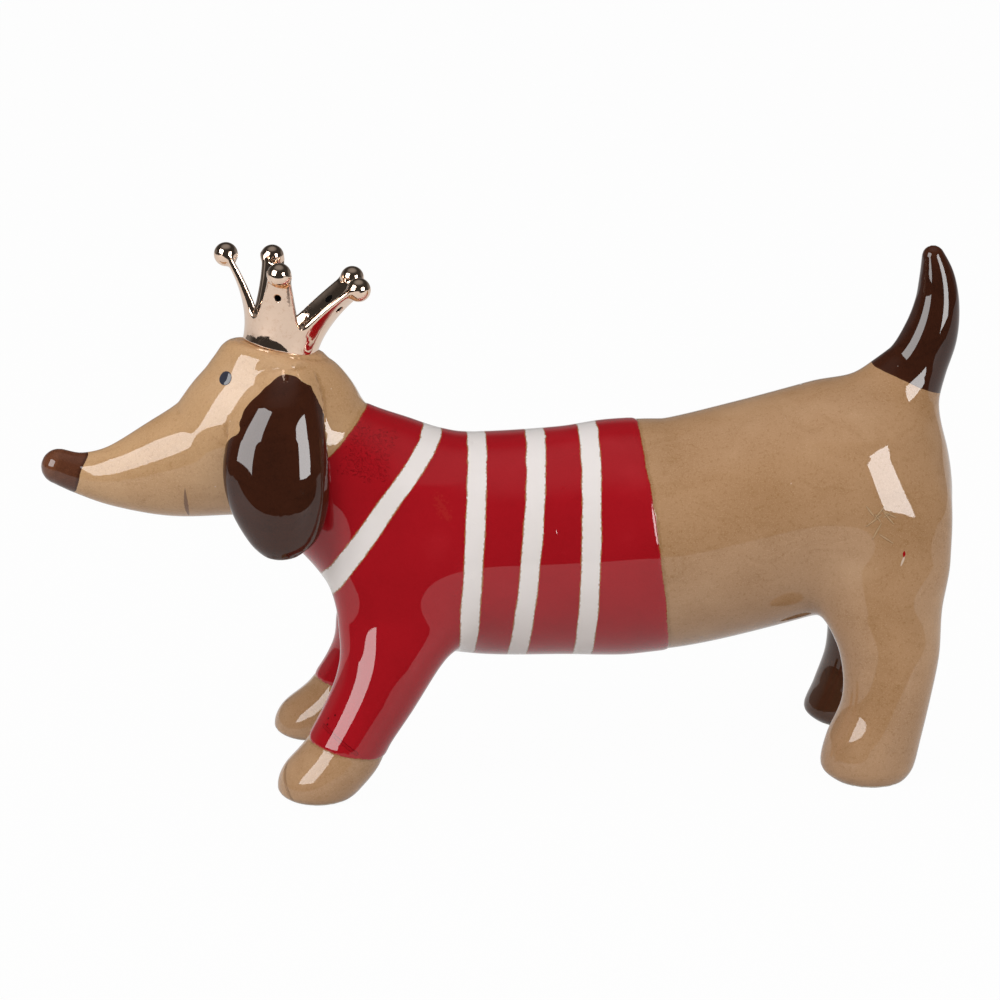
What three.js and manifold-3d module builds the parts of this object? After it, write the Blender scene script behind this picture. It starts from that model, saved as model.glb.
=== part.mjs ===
// A dachshund figurine: slip-cast, glazed ceramic with a modelled sweater, and a small plated crown that is
// glued to its head.
// Millimetres, +Z up. The dog looks along -X, its left side is towards -Y, and it stands on Z = 0.
// The ceramic is cast hollow in pieces that are luted together while wet: body, head, ears, legs and tail.
import * as THREE from "three";
import { mergeVertices } from "three/addons/utils/BufferGeometryUtils.js";
import Module from "manifold-3d";

const wasm = await Module();
wasm.setup();

// Driving dimensions

const fitGap = 0.3; // left between neighbouring pieces
const castWall = 4.2; // thickness of the slip-cast wall
const ventRadius = 4; // drain hole in the belly
const ventBehindFlank = 7; // of its middle
const soleThickness = 1.2; // the bare, unglazed foot
const LEFT = -1;
const RIGHT = 1;

// The spine of the body, as balls that the skin runs over: radius, and half width across the dog. Each ball's
// centre lies forward and up from the one before, and the first one's is given.
const rump = { x: 79.6, z: 63.5, radius: 26.6, halfWidth: 24.4 };
const loin = { forward: 17.6, up: -4.7, radius: 26.9, halfWidth: 24.6 };
const flank = { forward: 19, up: -4.2, radius: 27, halfWidth: 24.8 };
const waist = { forward: 12, up: -0.8, radius: 27.4, halfWidth: 25.2 };
const belly = { forward: 15, up: -0.8, radius: 26.2, halfWidth: 24.4 };
const chest = { forward: 23, up: 0.2, radius: 25.2, halfWidth: 24 };
const shoulder = { forward: 12, up: 4.1, radius: 22.9, halfWidth: 21.6 };
const neckBase = { forward: 10.5, up: 6.9, radius: 20, halfWidth: 18.2 };
const neck = { forward: 10.5, up: 7.6, radius: 17.4, halfWidth: 15.6 };
const nape = { forward: 8, up: 7, radius: 16, halfWidth: 14.4 };

// The head, from the back of the skull, measured from the nape, to the nose.
const occiput = { forward: -0.5, up: 1, radius: 17.2, halfWidth: 15 };
const skull = { forward: 5.3, up: 2.2, radius: 20, halfWidth: 16.4 };
const cheek = { forward: 11.4, up: -5.3, radius: 15.2, halfWidth: 13.2 };
const muzzle = { forward: 11.8, up: -3.5, radius: 11.7, halfWidth: 9.8 };
const snout = { forward: 12, up: -1.9, radius: 7.4, halfWidth: 6.8 };
const noseBridge = { forward: 8.5, up: 0.6, radius: 4.95, halfWidth: 4.8 };
const noseTip = { forward: 5.7, up: 1.9, radius: 4.1, halfWidth: 4.2 };

// The tail, from inside the rump, measured from the rump's centre, to its tip.
const tailDeep = { forward: -11.9, up: 11.3, radius: 12.6, halfWidth: 12.4 };
const tailBase = { forward: -2.3, up: 10, radius: 9.9, halfWidth: 9 };
const tailRoot = { forward: -3.2, up: 8, radius: 7.6, halfWidth: 7 };
const tailBend = { forward: -3.3, up: 7.4, radius: 6.6, halfWidth: 6.2 };
const tailMiddle = { forward: -1.4, up: 7, radius: 5.5, halfWidth: 5.1 };
const tailUpper = { forward: 0, up: 6.2, radius: 4.3, halfWidth: 4 };
const tailTip = { forward: 0.9, up: 5.2, radius: 2.7, halfWidth: 2.6 };

// A front and a hind leg as level ovals, from inside the body down to the floor. z is from the floor, back is
// from the shoulder's or the rump's centre, and out is from the middle. rightBack is how much further back the
// right leg of the pair stands at that height.
const frontRoot = { z: 53, back: -1, out: 12, halfLength: 12, halfWidth: 9.4, rightBack: 0 };
const frontElbow = { z: 39.8, back: -5.4, out: 15.2, halfLength: 12.2, halfWidth: 9.8, rightBack: 1.5 };
const frontForearm = { z: 30.8, back: -7, out: 18, halfLength: 11, halfWidth: 9.4, rightBack: 2 };
const frontShin = { z: 22.8, back: -11.2, out: 20, halfLength: 10, halfWidth: 9, rightBack: 1.5 };
const frontWrist = { z: 12.8, back: -17.6, out: 21.8, halfLength: 9.8, halfWidth: 9.4, rightBack: 0 };
const frontPaw = { z: 6.6, back: -21.9, out: 22.5, halfLength: 11, halfWidth: 10.4, rightBack: -1.5 };
const frontToes = { z: 2, back: -24.5, out: 22.6, halfLength: 9.8, halfWidth: 10.4, rightBack: -2 };
const frontPad = { z: 0, back: -24.6, out: 22.6, halfLength: 7.8, halfWidth: 8.8, rightBack: -2 };
const hindRoot = { z: 65, back: 3.4, out: 9, halfLength: 15, halfWidth: 9, rightBack: 0 };
const hindThigh = { z: 50.8, back: 7.8, out: 12.5, halfLength: 17.7, halfWidth: 10.8, rightBack: -0.8 };
const hindKnee = { z: 38.8, back: 8.6, out: 16, halfLength: 14.2, halfWidth: 11, rightBack: 1 };
const hindShin = { z: 28.8, back: 9.6, out: 18.6, halfLength: 11.5, halfWidth: 10.4, rightBack: 2.4 };
const hindHock = { z: 18.8, back: 8.7, out: 20.4, halfLength: 10.2, halfWidth: 10.1, rightBack: 2.6 };
const hindPaw = { z: 9.6, back: 5.8, out: 21, halfLength: 11, halfWidth: 10.6, rightBack: 3.6 };
const hindToes = { z: 3, back: 4.4, out: 21.2, halfLength: 10.8, halfWidth: 10.8, rightBack: 2.4 };
const hindPad = { z: 0, back: 4.8, out: 21.2, halfLength: 8.4, halfWidth: 9.2, rightBack: 2.2 };

// An ear as level ovals, from the skull down to its free tip, measured from the skull's centre and its side.
const earTop = { up: 16.2, back: 4.6, out: -6.5, halfLength: 2, halfWidth: 1.6 };
const earCrest = { up: 13.8, back: 4.2, out: -3.8, halfLength: 5, halfWidth: 3 };
const earRoot = { up: 8.8, back: 3.2, out: -0.6, halfLength: 8.4, halfWidth: 4 };
const earBend = { up: 1.8, back: 1.8, out: 2.4, halfLength: 11, halfWidth: 4.4 };
const earFull = { up: -6.2, back: 1.3, out: 4, halfLength: 12, halfWidth: 4.6 };
const earLobe = { up: -14.2, back: 1.8, out: 4.8, halfLength: 11.2, halfWidth: 4.8 };
const earEnd = { up: -21.2, back: 2.4, out: 4.8, halfLength: 8.4, halfWidth: 4.2 };
const earEdge = { up: -25, back: 2.2, out: 4.6, halfLength: 4.8, halfWidth: 2.6 };
const earTip = { up: -26.2, back: 2, out: 4.6, halfLength: 1.4, halfWidth: 0.9 };

// The edges between differently coloured stretches lie in flat planes square to the dog's middle plane. Each
// is measured forward and up from the centre of the ball or oval by it, and facing is how many degrees the side
// in front of it looks up from straight ahead.

// The sweater: a coat that stands proud of the skin, from its hem to its collar and down to its cuffs.
const sweaterRelief = 0.8; // above the skin
const sweaterDepth = 1.2; // below the skin
const hemEdge = { forward: -4.5, up: 0, facing: -6.8 }; // from the waist
const collarEdge = { forward: 1.4, up: 4.2, facing: 45 }; // from the neck
const cuffEdge = { forward: 1.6, up: -1, facing: -76.5 }; // from the wrist
const rightCuffRise = 1.5; // the right cuff is higher
const stripeWidth = 4.4;
const stripeDepth = 0.7;
const neckStripe = { forward: -0.5, up: -0.8, facing: 35 }; // from the neck's base
const chestStripe = { forward: 0.4, up: 0, facing: 4.6 }; // from the chest
const bellyStripe = { forward: 10.5, up: 0, facing: 4.2 }; // from the belly
const backStripe = { forward: 11.6, up: 0, facing: 2 }; // from the waist

// Painted places of their own colour.
const noseEdge = { forward: 0.4, up: 0, facing: 20 }; // from the nose's bridge
const noseGlaze = 1;
const tailEdge = { forward: -2.1, up: 5, facing: 114.2 }; // from the tail's base
const eyeAhead = 9.7; // of the skull's centre
const eyeUp = 13.7;
const eyeRadius = 1.3;
const eyeDepth = 0.6;

// The crown, in its own frame: Z along its axis, and its rim on Z = 0.
const crownTilt = 14.8; // degrees that the crown leans back
const crownLean = 3; // and towards the dog's right side
const crownTurn = 3.8; // and is turned about its axis
const crownForward = 2.4; // of the skull's centre, towards the nose
const crownSink = 0.5; // of the rim below the top of the skull
const crownBaseRadius = 8.75;
const crownTipRadius = 17.75; // of the outside of the wall, at the balls' height
const crownHeight = 18.1; // rim to the balls' centres
const crownFlare = 1.92; // the power that the wall flares by
const crownWall = 1.9;
const crownPoints = 5;
const crownBallRadius = 2.75;
const notchHeight = 6.2; // rim to the bottom of a notch
const notchRadius = 1.4; // of its round bottom
const notchSteps = [0.1, 0.5]; // shares of the round bottom's height at which it is drawn
const tipHalfWidth = 2.6; // of a point, at its ball
const rootHalfWidth = 5; // and between the bottoms of two notches
const pointTaper = 1.3; // the power that a point narrows by
const pinholeRadius = 0.75;
const pinholeHeight = 12.5;
const seatFlare = 5; // how far the ceramic seat under the crown spreads to the front and back
const seatSideFlare = 2.6; // and to the sides
const seatDepth = 6.5;
const seatSteps = [
  { down: 0.05, spread: 0.05 },
  { down: 0.14, spread: 0.5 },
  { down: 0.45, spread: 0.85 },
  { down: 1, spread: 1 },
]; // shares of the depth and of the flare
const glueWidth = 1.4;
const glueSlump = 0.4; // share of its width that the bead's slope takes

// Facets: sides round each skin, and rings from one ball or oval to the next.
const trunkFacets = { sides: 20, rings: 2 };
const headFacets = { sides: 20, rings: 2 };
const tailFacets = { sides: 12, rings: 2 };
const hollowFacets = { sides: 12, rings: 1 };
const limbFacets = { sides: 16, rings: 1 };
const crownFacets = { sides: 25, rows: 4 };
const crownBallFacets = { sides: 10, rows: 6 };
const ventSides = 24;
const eyeSides = 20;
const pinholeSides = 6;
const capRings = 3;

// How far cuts reach: past the whole dog, and past the highest relief on its skin.
const farAway = 400;
const beyondRelief = 3;
const samePoint = 1e-4; // points closer than this are one

const colours = {
  tan: 0xb08a66,
  red: 0x9c1c22,
  white: 0xe7dfdc,
  earBrown: 0x391e14,
  noseBrown: 0x5d3524,
  legBrown: 0x5a3826,
  eye: 0x20222c,
  roseGold: 0xdcc2ae,
  glue: 0xd8cdb8,
  bisque: 0xede6da,
};

// Curves and skins

// A curve through a pair of sizes of each ball or oval.
function pairCurve(stations, first, second) {
  return new THREE.SplineCurve(stations.map((s) => new THREE.Vector2(s[first], s[second])));
}

// Closes rings of points into one skin, with a point at each end.
function skin(startPoint, rings, endPoint) {
  const sides = rings[0].length;
  const positions = [startPoint, ...rings.flat(), endPoint].flatMap((p) => [p.x, p.y, p.z]);
  const last = positions.length / 3 - 1;
  const faces = [];
  for (let side = 0; side < sides; side++) {
    const next = (side + 1) % sides;
    faces.push(0, 1 + next, 1 + side);
    for (let ring = 0; ring < rings.length - 1; ring++) {
      const low = 1 + ring * sides;
      const high = low + sides;
      faces.push(low + side, low + next, high + side, low + next, high + next, high + side);
    }
    faces.push(last, last - sides + side, last - sides + next);
  }
  return new THREE.BufferGeometry()
    .setAttribute("position", new THREE.Float32BufferAttribute(positions, 3))
    .setIndex(faces);
}

// The skin over a row of balls whose centres lie in the dog's middle plane, grown or shrunk by grow.
function overBalls(balls, facets, grow = 0) {
  const centres = pairCurve(balls, "x", "z");
  const sizes = pairCurve(balls, "radius", "halfWidth");
  const steps = facets.rings * (balls.length - 1);
  const slice = 1e-3;
  const steepest = 0.9;
  const rings = [];
  const ringAt = (centre, along, radius, halfWidth, latitude) => {
    const middle = centre.clone().addScaledVector(along, radius * Math.sin(latitude));
    return Array.from({ length: facets.sides }, (_, side) => {
      const angle = (-2 * Math.PI * side) / facets.sides;
      const rise = radius * Math.cos(latitude) * Math.cos(angle);
      const across = halfWidth * Math.cos(latitude) * Math.sin(angle);
      return new THREE.Vector3(middle.x - along.y * rise, across, middle.y + along.x * rise);
    });
  };
  const stationAt = (t) => {
    const from = Math.max(t - slice, 0);
    const to = Math.min(t + slice, 1);
    const travel = centres.getPoint(to).sub(centres.getPoint(from));
    const growth = sizes.getPoint(to).x - sizes.getPoint(from).x;
    const size = sizes.getPoint(t);
    return {
      centre: centres.getPoint(t),
      along: travel.clone().normalize(),
      radius: size.x + grow,
      halfWidth: size.y + grow,
      latitude: -Math.asin(THREE.MathUtils.clamp(growth / travel.length(), -steepest, steepest)),
    };
  };
  const pole = (s, way) => {
    const tip = s.centre.clone().addScaledVector(s.along, way * s.radius);
    return new THREE.Vector3(tip.x, 0, tip.y);
  };
  const cap = (s, way) =>
    Array.from({ length: capRings }, (_, k) => {
      const latitude = THREE.MathUtils.lerp(s.latitude, (way * Math.PI) / 2, (k + 1) / (capRings + 1));
      return ringAt(s.centre, s.along, s.radius, s.halfWidth, latitude);
    });
  const first = stationAt(0);
  const end = stationAt(1);
  rings.push(...cap(first, -1).reverse());
  for (let step = 0; step <= steps; step++) {
    const s = stationAt(step / steps);
    rings.push(ringAt(s.centre, s.along, s.radius, s.halfWidth, s.latitude));
  }
  rings.push(...cap(end, 1));
  return skin(pole(first, -1), rings, pole(end, 1));
}

// The skin round a stack of level ovals, from the top one to the bottom one.
function overOvals(ovals, facets, grow = 0) {
  const steps = facets.rings * (ovals.length - 1);
  const middles = pairCurve(ovals, "x", "y");
  const sizes = pairCurve(ovals, "halfLength", "halfWidth");
  const heights = pairCurve(ovals, "z", "z");
  const rings = [];
  for (let step = 0; step <= steps; step++) {
    const middle = middles.getPoint(step / steps);
    const size = sizes.getPoint(step / steps);
    const height = heights.getPoint(step / steps).x;
    rings.push(
      Array.from({ length: facets.sides }, (_, side) => {
        const angle = (-2 * Math.PI * side) / facets.sides;
        return new THREE.Vector3(
          middle.x + (size.x + grow) * Math.cos(angle),
          middle.y + (size.y + grow) * Math.sin(angle),
          height,
        );
      }),
    );
  }
  const top = ovals[0];
  const bottom = ovals[ovals.length - 1];
  return skin(new THREE.Vector3(top.x, top.y, top.z), rings, new THREE.Vector3(bottom.x, bottom.y, bottom.z));
}

// Solids

// A closed geometry as a solid that can be cut and joined.
function solid(geometry) {
  const bare = geometry.index ? geometry.toNonIndexed() : geometry.clone();
  bare.deleteAttribute("normal");
  bare.deleteAttribute("uv");
  const merged = mergeVertices(bare, samePoint);
  return new wasm.Manifold(
    new wasm.Mesh({
      numProp: 3,
      vertProperties: new Float32Array(merged.attributes.position.array),
      triVerts: new Uint32Array(merged.index.array),
    }),
  );
}

// A solid's surface as a geometry that a mesh can show.
function surface(made) {
  const mesh = made.getMesh();
  const positions = new Float32Array(mesh.numVert * 3);
  for (let i = 0; i < mesh.numVert; i++) {
    positions.set(mesh.vertProperties.subarray(i * mesh.numProp, i * mesh.numProp + 3), i * 3);
  }
  const geometry = new THREE.BufferGeometry()
    .setAttribute("position", new THREE.BufferAttribute(positions, 3))
    .setIndex(new THREE.BufferAttribute(mesh.triVerts, 1))
    .toNonIndexed();
  geometry.computeVertexNormals();
  return geometry;
}

// All the space in front of an edge, and a distance behind it too.
function inFrontOf(edge, behind = 0) {
  return solid(
    new THREE.BoxGeometry(farAway, farAway, farAway)
      .translate(-farAway / 2 + behind, 0, 0)
      .rotateY(THREE.MathUtils.degToRad(edge.facing))
      .translate(edge.x, 0, edge.z),
  );
}

// The slice of a thickness that an edge runs through the middle of.
function sliceAlong(edge, thickness) {
  return inFrontOf(edge, thickness / 2).subtract(inFrontOf(edge, -thickness / 2));
}

// All the space between two heights.
function between(low, high) {
  const height = high - low;
  return solid(new THREE.BoxGeometry(farAway, farAway, height).translate(0, 0, low + height / 2));
}

function eyeCylinder(radius) {
  return solid(new THREE.CylinderGeometry(radius, radius, farAway, eyeSides).translate(eyeX, 0, eyeZ));
}

// The layer of a skin between two depths, where skinAt gives the skin grown by a distance.
function layer(skinAt, outside, inside) {
  return skinAt(outside).subtract(skinAt(inside));
}

// Balls with their centres, each worked out from the one before.
function chained(start, steps) {
  let last = start;
  return steps.map((step) => {
    last = { ...step, x: last.x - step.forward, z: last.z + step.up };
    return last;
  });
}

const spine = [rump, ...chained(rump, [loin, flank, waist, belly, chest, shoulder, neckBase, neck, nape])];
const [flankBall, waistBall, bellyBall, chestBall] = spine.slice(2);
const [shoulderBall, neckBaseBall, neckBall, napeBall] = spine.slice(6);
const headBalls = chained(napeBall, [occiput, skull, cheek, muzzle, snout, noseBridge, noseTip]);
const [, skullBall, , , , noseBridgeBall] = headBalls;
const hollowHeadBalls = headBalls.slice(0, -2);
const tailBalls = chained(rump, [tailDeep, tailBase, tailRoot, tailBend, tailMiddle, tailUpper, tailTip]);
const frontLeg = [frontRoot, frontElbow, frontForearm, frontShin, frontWrist, frontPaw, frontToes, frontPad];
const hindLeg = [hindRoot, hindThigh, hindKnee, hindShin, hindHock, hindPaw, hindToes, hindPad];
const ear = [earTop, earCrest, earRoot, earBend, earFull, earLobe, earEnd, earEdge, earTip];

// An edge's plane, from the ball or oval that it is measured from.
function placed(edge, ball) {
  return { x: ball.x - edge.forward, z: ball.z + edge.up, facing: edge.facing };
}

const hem = placed(hemEdge, waistBall);
const collar = placed(collarEdge, neckBall);
const noseLine = placed(noseEdge, noseBridgeBall);
const tailLine = placed(tailEdge, tailBalls[1]);
const stripes = {
  neck_stripe: placed(neckStripe, neckBaseBall),
  chest_stripe: placed(chestStripe, chestBall),
  belly_stripe: placed(bellyStripe, bellyBall),
  back_stripe: placed(backStripe, waistBall),
};

const trunkSkin = (grow) => solid(overBalls(spine, trunkFacets, grow));
const headSkin = (grow) => solid(overBalls(headBalls, headFacets, grow));
const tailSkin = () => solid(overBalls(tailBalls, tailFacets));
const trunkHollow = () => solid(overBalls(spine, hollowFacets, -castWall - sweaterDepth));
const headHollow = () => solid(overBalls(hollowHeadBalls, hollowFacets, -castWall));

// The ovals of a leg on one side of the dog, under a ball of its spine.
function onSide(ovals, ball, side) {
  return ovals.map((oval) => ({
    ...oval,
    x: ball.x + oval.back + (side === RIGHT ? oval.rightBack : 0),
    y: side * oval.out,
  }));
}

const eyeX = skullBall.x - eyeAhead;
const eyeZ = skullBall.z + eyeUp;

// The crown stands on a seat on top of the skull.
const tilt = THREE.MathUtils.degToRad(crownTilt);
const crownMiddle = new THREE.Vector3(
  skullBall.x - crownForward + Math.sin(tilt) * (skull.radius - crownSink),
  0,
  skullBall.z + Math.cos(tilt) * (skull.radius - crownSink),
);
const crownFrame = new THREE.Matrix4()
  .makeRotationY(tilt)
  .multiply(new THREE.Matrix4().makeRotationX(THREE.MathUtils.degToRad(-crownLean)))
  .setPosition(crownMiddle);

// A solid of revolution about the crown's axis, from a profile of radius and height that closes on itself.
function turned(profile, segments) {
  const points = profile.map(([radius, height]) => new THREE.Vector2(radius, height));
  return new THREE.LatheGeometry(points, segments).rotateX(Math.PI / 2);
}

function crownSeat(grow = 0) {
  const ovals = seatSteps.map(({ down, spread }) => ({
    z: -down * seatDepth,
    x: 0,
    y: 0,
    halfLength: crownBaseRadius + spread * seatFlare,
    halfWidth: crownBaseRadius + spread * seatSideFlare,
  }));
  return solid(overOvals(ovals, limbFacets, grow).applyMatrix4(crownFrame));
}

// The head as one lump: skull, muzzle, and the neck in front of the collar.
function headLump(grow) {
  const neckStub = trunkSkin(grow).intersect(inFrontOf(collar, castWall));
  return headSkin(grow).add(neckStub);
}

// Pieces

function bodyCasting() {
  const underSweater = layer(trunkSkin, beyondRelief, -sweaterDepth - fitGap).intersect(
    inFrontOf(hem, fitGap),
  );
  const vent = solid(
    new THREE.CylinderGeometry(ventRadius, ventRadius, castWall * 4, ventSides)
      .rotateX(Math.PI / 2)
      .translate(flankBall.x + ventBehindFlank, 0, flankBall.z - flank.radius),
  );
  let body = trunkSkin(0)
    .add(tailSkin().subtract(inFrontOf(tailLine, fitGap)))
    .subtract(underSweater)
    .subtract(inFrontOf(collar))
    .subtract(trunkHollow())
    .subtract(vent);
  for (const side of [LEFT, RIGHT]) {
    body = body.subtract(legCavity(frontLegOn(side))).subtract(legCavity(hindLegOn(side)));
  }
  return body;
}

function headCasting() {
  const underNose = layer(headSkin, beyondRelief, -noseGlaze - fitGap).intersect(
    inFrontOf(noseLine, fitGap),
  );
  const eyePockets = layer(headSkin, beyondRelief, -eyeDepth - fitGap).intersect(
    eyeCylinder(eyeRadius + fitGap),
  );
  return headLump(0)
    .intersect(inFrontOf(collar, -fitGap))
    .add(crownSeat())
    .subtract(underNose)
    .subtract(eyePockets)
    .subtract(headHollow())
    .subtract(trunkHollow());
}

const frontLegOn = (side) => onSide(frontLeg, shoulderBall, side);
const hindLegOn = (side) => onSide(hindLeg, rump, side);
const cuffOn = (side) => {
  const cuff = placed(cuffEdge, { x: shoulderBall.x + frontWrist.back, z: frontWrist.z });
  return side === RIGHT ? { ...cuff, z: cuff.z + rightCuffRise } : cuff;
};
const legSkin = (ovals, grow) => solid(overOvals(ovals, limbFacets, grow));

// The hollow of a leg, which drains into the body while the clay is cast.
function legCavity(ovals) {
  const hollow = solid(overOvals(ovals, hollowFacets, -castWall));
  return hollow.intersect(between(castWall + soleThickness, farAway));
}

function sole(ovals) {
  return legSkin(ovals, -fitGap).intersect(between(-soleThickness, soleThickness));
}

// A leg's outer form, down to its bare sole.
function standingLeg(ovals) {
  return legSkin(ovals, 0).intersect(between(soleThickness + fitGap, farAway));
}

function frontLegCasting(side) {
  const ovals = frontLegOn(side);
  const underSleeve = legSkin(ovals, beyondRelief)
    .subtract(legSkin(ovals, -sweaterDepth - fitGap))
    .subtract(inFrontOf(cuffOn(side), -fitGap));
  return standingLeg(ovals)
    .subtract(underSleeve)
    .subtract(trunkSkin(-sweaterDepth))
    .subtract(legCavity(ovals));
}

function hindLegCasting(side) {
  const ovals = hindLegOn(side);
  return standingLeg(ovals).subtract(trunkSkin(fitGap)).subtract(legCavity(ovals));
}

function sleeve(side) {
  const ovals = frontLegOn(side);
  return legSkin(ovals, sweaterRelief)
    .subtract(legSkin(ovals, -sweaterDepth))
    .subtract(inFrontOf(cuffOn(side)))
    .subtract(trunkSkin(sweaterRelief + fitGap));
}

function sweater() {
  let coat = layer(trunkSkin, sweaterRelief, -sweaterDepth)
    .intersect(inFrontOf(hem))
    .subtract(inFrontOf(collar));
  const groove = layer(trunkSkin, beyondRelief, sweaterRelief - stripeDepth - fitGap);
  for (const stripe of Object.values(stripes)) {
    coat = coat.subtract(groove.intersect(sliceAlong(stripe, stripeWidth + 2 * fitGap)));
  }
  for (const side of [LEFT, RIGHT]) {
    coat = coat.subtract(legSkin(frontLegOn(side), -sweaterDepth));
  }
  return coat;
}

function stripeBand(stripe) {
  const band = layer(trunkSkin, sweaterRelief, sweaterRelief - stripeDepth);
  return band.intersect(sliceAlong(stripe, stripeWidth));
}

function noseCap() {
  return layer(headSkin, 0, -noseGlaze).intersect(inFrontOf(noseLine));
}

function eyeDot(side) {
  const half = new THREE.BoxGeometry(farAway, farAway, farAway).translate(0, (side * farAway) / 2, 0);
  return layer(headSkin, 0, -eyeDepth)
    .intersect(eyeCylinder(eyeRadius))
    .intersect(solid(half));
}

function earCasting(side) {
  const ovals = ear.map((oval) => ({
    ...oval,
    x: skullBall.x + oval.back,
    y: side * (skull.halfWidth + oval.out),
    z: skullBall.z + oval.up,
  }));
  return solid(overOvals(ovals, limbFacets))
    .subtract(headLump(fitGap))
    .subtract(crownSeat(fitGap))
    .subtract(trunkSkin(sweaterRelief + fitGap));
}

function tailCasting() {
  return tailSkin().intersect(inFrontOf(tailLine));
}

// The crown

const crownRadiusAt = (height) =>
  crownBaseRadius + (crownTipRadius - crownBaseRadius) * Math.pow(height / crownHeight, crownFlare);

// The first point of the crown looks forwards, along -X.
const pointAngle = (index) =>
  Math.PI + THREE.MathUtils.degToRad(crownTurn) + (2 * Math.PI * index) / crownPoints;

// Half the width of a crown point, which narrows from the notches up to its ball.
function pointHalfWidth(height) {
  const rise = (height - notchHeight) / (crownHeight - notchHeight);
  return tipHalfWidth + (rootHalfWidth - tipHalfWidth) * Math.pow(1 - rise, pointTaper);
}

// Half the width of a notch at a height, with its round bottom.
function notchHalfWidth(height) {
  const radius = crownRadiusAt(height);
  const turn = Math.PI / crownPoints - Math.asin(Math.min(pointHalfWidth(height) / radius, 1));
  const up = Math.min(height - notchHeight, notchRadius);
  const round = Math.sqrt(notchRadius ** 2 - (notchRadius - up) ** 2);
  return up < notchRadius ? Math.min(radius * Math.sin(turn), round) : radius * Math.sin(turn);
}

// The space between two points of the crown, cut along the crown's radius midway between them.
function notch(index) {
  const steps = crownFacets.rows;
  const top = crownHeight + 2 * crownBallRadius;
  const low = notchHeight + notchRadius;
  const heights = notchSteps.map((share) => notchHeight + share * notchRadius);
  for (let step = 0; step <= steps; step++) {
    heights.push(THREE.MathUtils.lerp(low, crownHeight, step / steps));
  }
  const edge = heights.map((height) => new THREE.Vector2(notchHalfWidth(height), height));
  edge.push(new THREE.Vector2(edge[edge.length - 1].x, top));
  const outline = [...edge, ...edge.toReversed().map((p) => new THREE.Vector2(-p.x, p.y))];
  const reach = 2 * crownTipRadius;
  const alongRadius = new THREE.Matrix4().makeBasis(
    new THREE.Vector3(0, 1, 0),
    new THREE.Vector3(0, 0, 1),
    new THREE.Vector3(1, 0, 0),
  );
  const wedge = new THREE.ExtrudeGeometry(new THREE.Shape(outline), { depth: reach, bevelEnabled: false });
  return solid(wedge.applyMatrix4(alongRadius).rotateZ(pointAngle(index + 0.5)));
}

function crown() {
  const { sides, rows } = crownFacets;
  const heights = Array.from({ length: rows + 1 }, (_, row) => (crownHeight * row) / rows);
  const profile = [
    ...heights.map((height) => [crownRadiusAt(height), height]),
    ...heights.reverse().map((height) => [crownRadiusAt(height) - crownWall, height]),
  ];
  let made = solid(turned([...profile, profile[0]], sides));
  for (let index = 0; index < crownPoints; index++) {
    made = made.subtract(notch(index));
  }
  for (let index = 0; index < crownPoints; index++) {
    const angle = pointAngle(index);
    const ball = new THREE.SphereGeometry(crownBallRadius, crownBallFacets.sides, crownBallFacets.rows)
      .translate(crownTipRadius - crownWall / 2, 0, crownHeight)
      .rotateZ(angle);
    const pinhole = new THREE.CylinderGeometry(pinholeRadius, pinholeRadius, crownTipRadius, pinholeSides)
      .rotateZ(Math.PI / 2)
      .translate(crownTipRadius, 0, pinholeHeight)
      .rotateZ(angle);
    made = made.subtract(solid(pinhole)).add(solid(ball));
  }
  return made;
}

function glueBead() {
  const outer = crownBaseRadius - crownWall - fitGap;
  const profile = [
    [outer - glueWidth, 0],
    [outer, 0],
    [outer, glueWidth],
    [outer - glueSlump * glueWidth, glueWidth / 2],
  ];
  return solid(turned([...profile, profile[0]], crownFacets.sides));
}

// The model

function glazed(colour) {
  return new THREE.MeshStandardMaterial({ color: colour, roughness: 0.12, metalness: 0 });
}

const glazes = Object.fromEntries(Object.entries(colours).map(([name, colour]) => [name, glazed(colour)]));
const plated = new THREE.MeshStandardMaterial({ color: colours.roseGold, roughness: 0.08, metalness: 1 });
const bare = new THREE.MeshStandardMaterial({ color: colours.bisque, roughness: 0.8, metalness: 0 });

const figurine = new THREE.Group();

function addPiece(name, made, material, parent = figurine) {
  const mesh = new THREE.Mesh(surface(made), material);
  mesh.name = name;
  parent.add(mesh);
}

addPiece("body_casting", bodyCasting(), glazes.tan);
addPiece("head_casting", headCasting(), glazes.tan);
addPiece("tail", tailCasting(), glazes.earBrown);
addPiece("nose_cap", noseCap(), glazes.noseBrown);
addPiece("sweater", sweater(), glazes.red);
for (const [name, stripe] of Object.entries(stripes)) {
  addPiece(name, stripeBand(stripe), glazes.white);
}
for (const [word, side] of [["left", LEFT], ["right", RIGHT]]) {
  addPiece(`${word}_ear`, earCasting(side), glazes.earBrown);
  addPiece(`${word}_eye`, eyeDot(side), glazes.eye);
  addPiece(`${word}_sleeve`, sleeve(side), glazes.red);
  addPiece(`${word}_front_leg`, frontLegCasting(side), glazes.tan);
  addPiece(`${word}_hind_leg`, hindLegCasting(side), side === LEFT ? glazes.tan : glazes.legBrown);
  addPiece(`${word}_front_sole`, sole(frontLegOn(side)), bare);
  addPiece(`${word}_hind_sole`, sole(hindLegOn(side)), bare);
}

const crownGroup = new THREE.Group();
crownGroup.applyMatrix4(crownFrame);
figurine.add(crownGroup);
addPiece("crown", crown(), plated, crownGroup);
addPiece("crown_glue", glueBead(), glazes.glue, crownGroup);

export default figurine;
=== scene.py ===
import math

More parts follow.
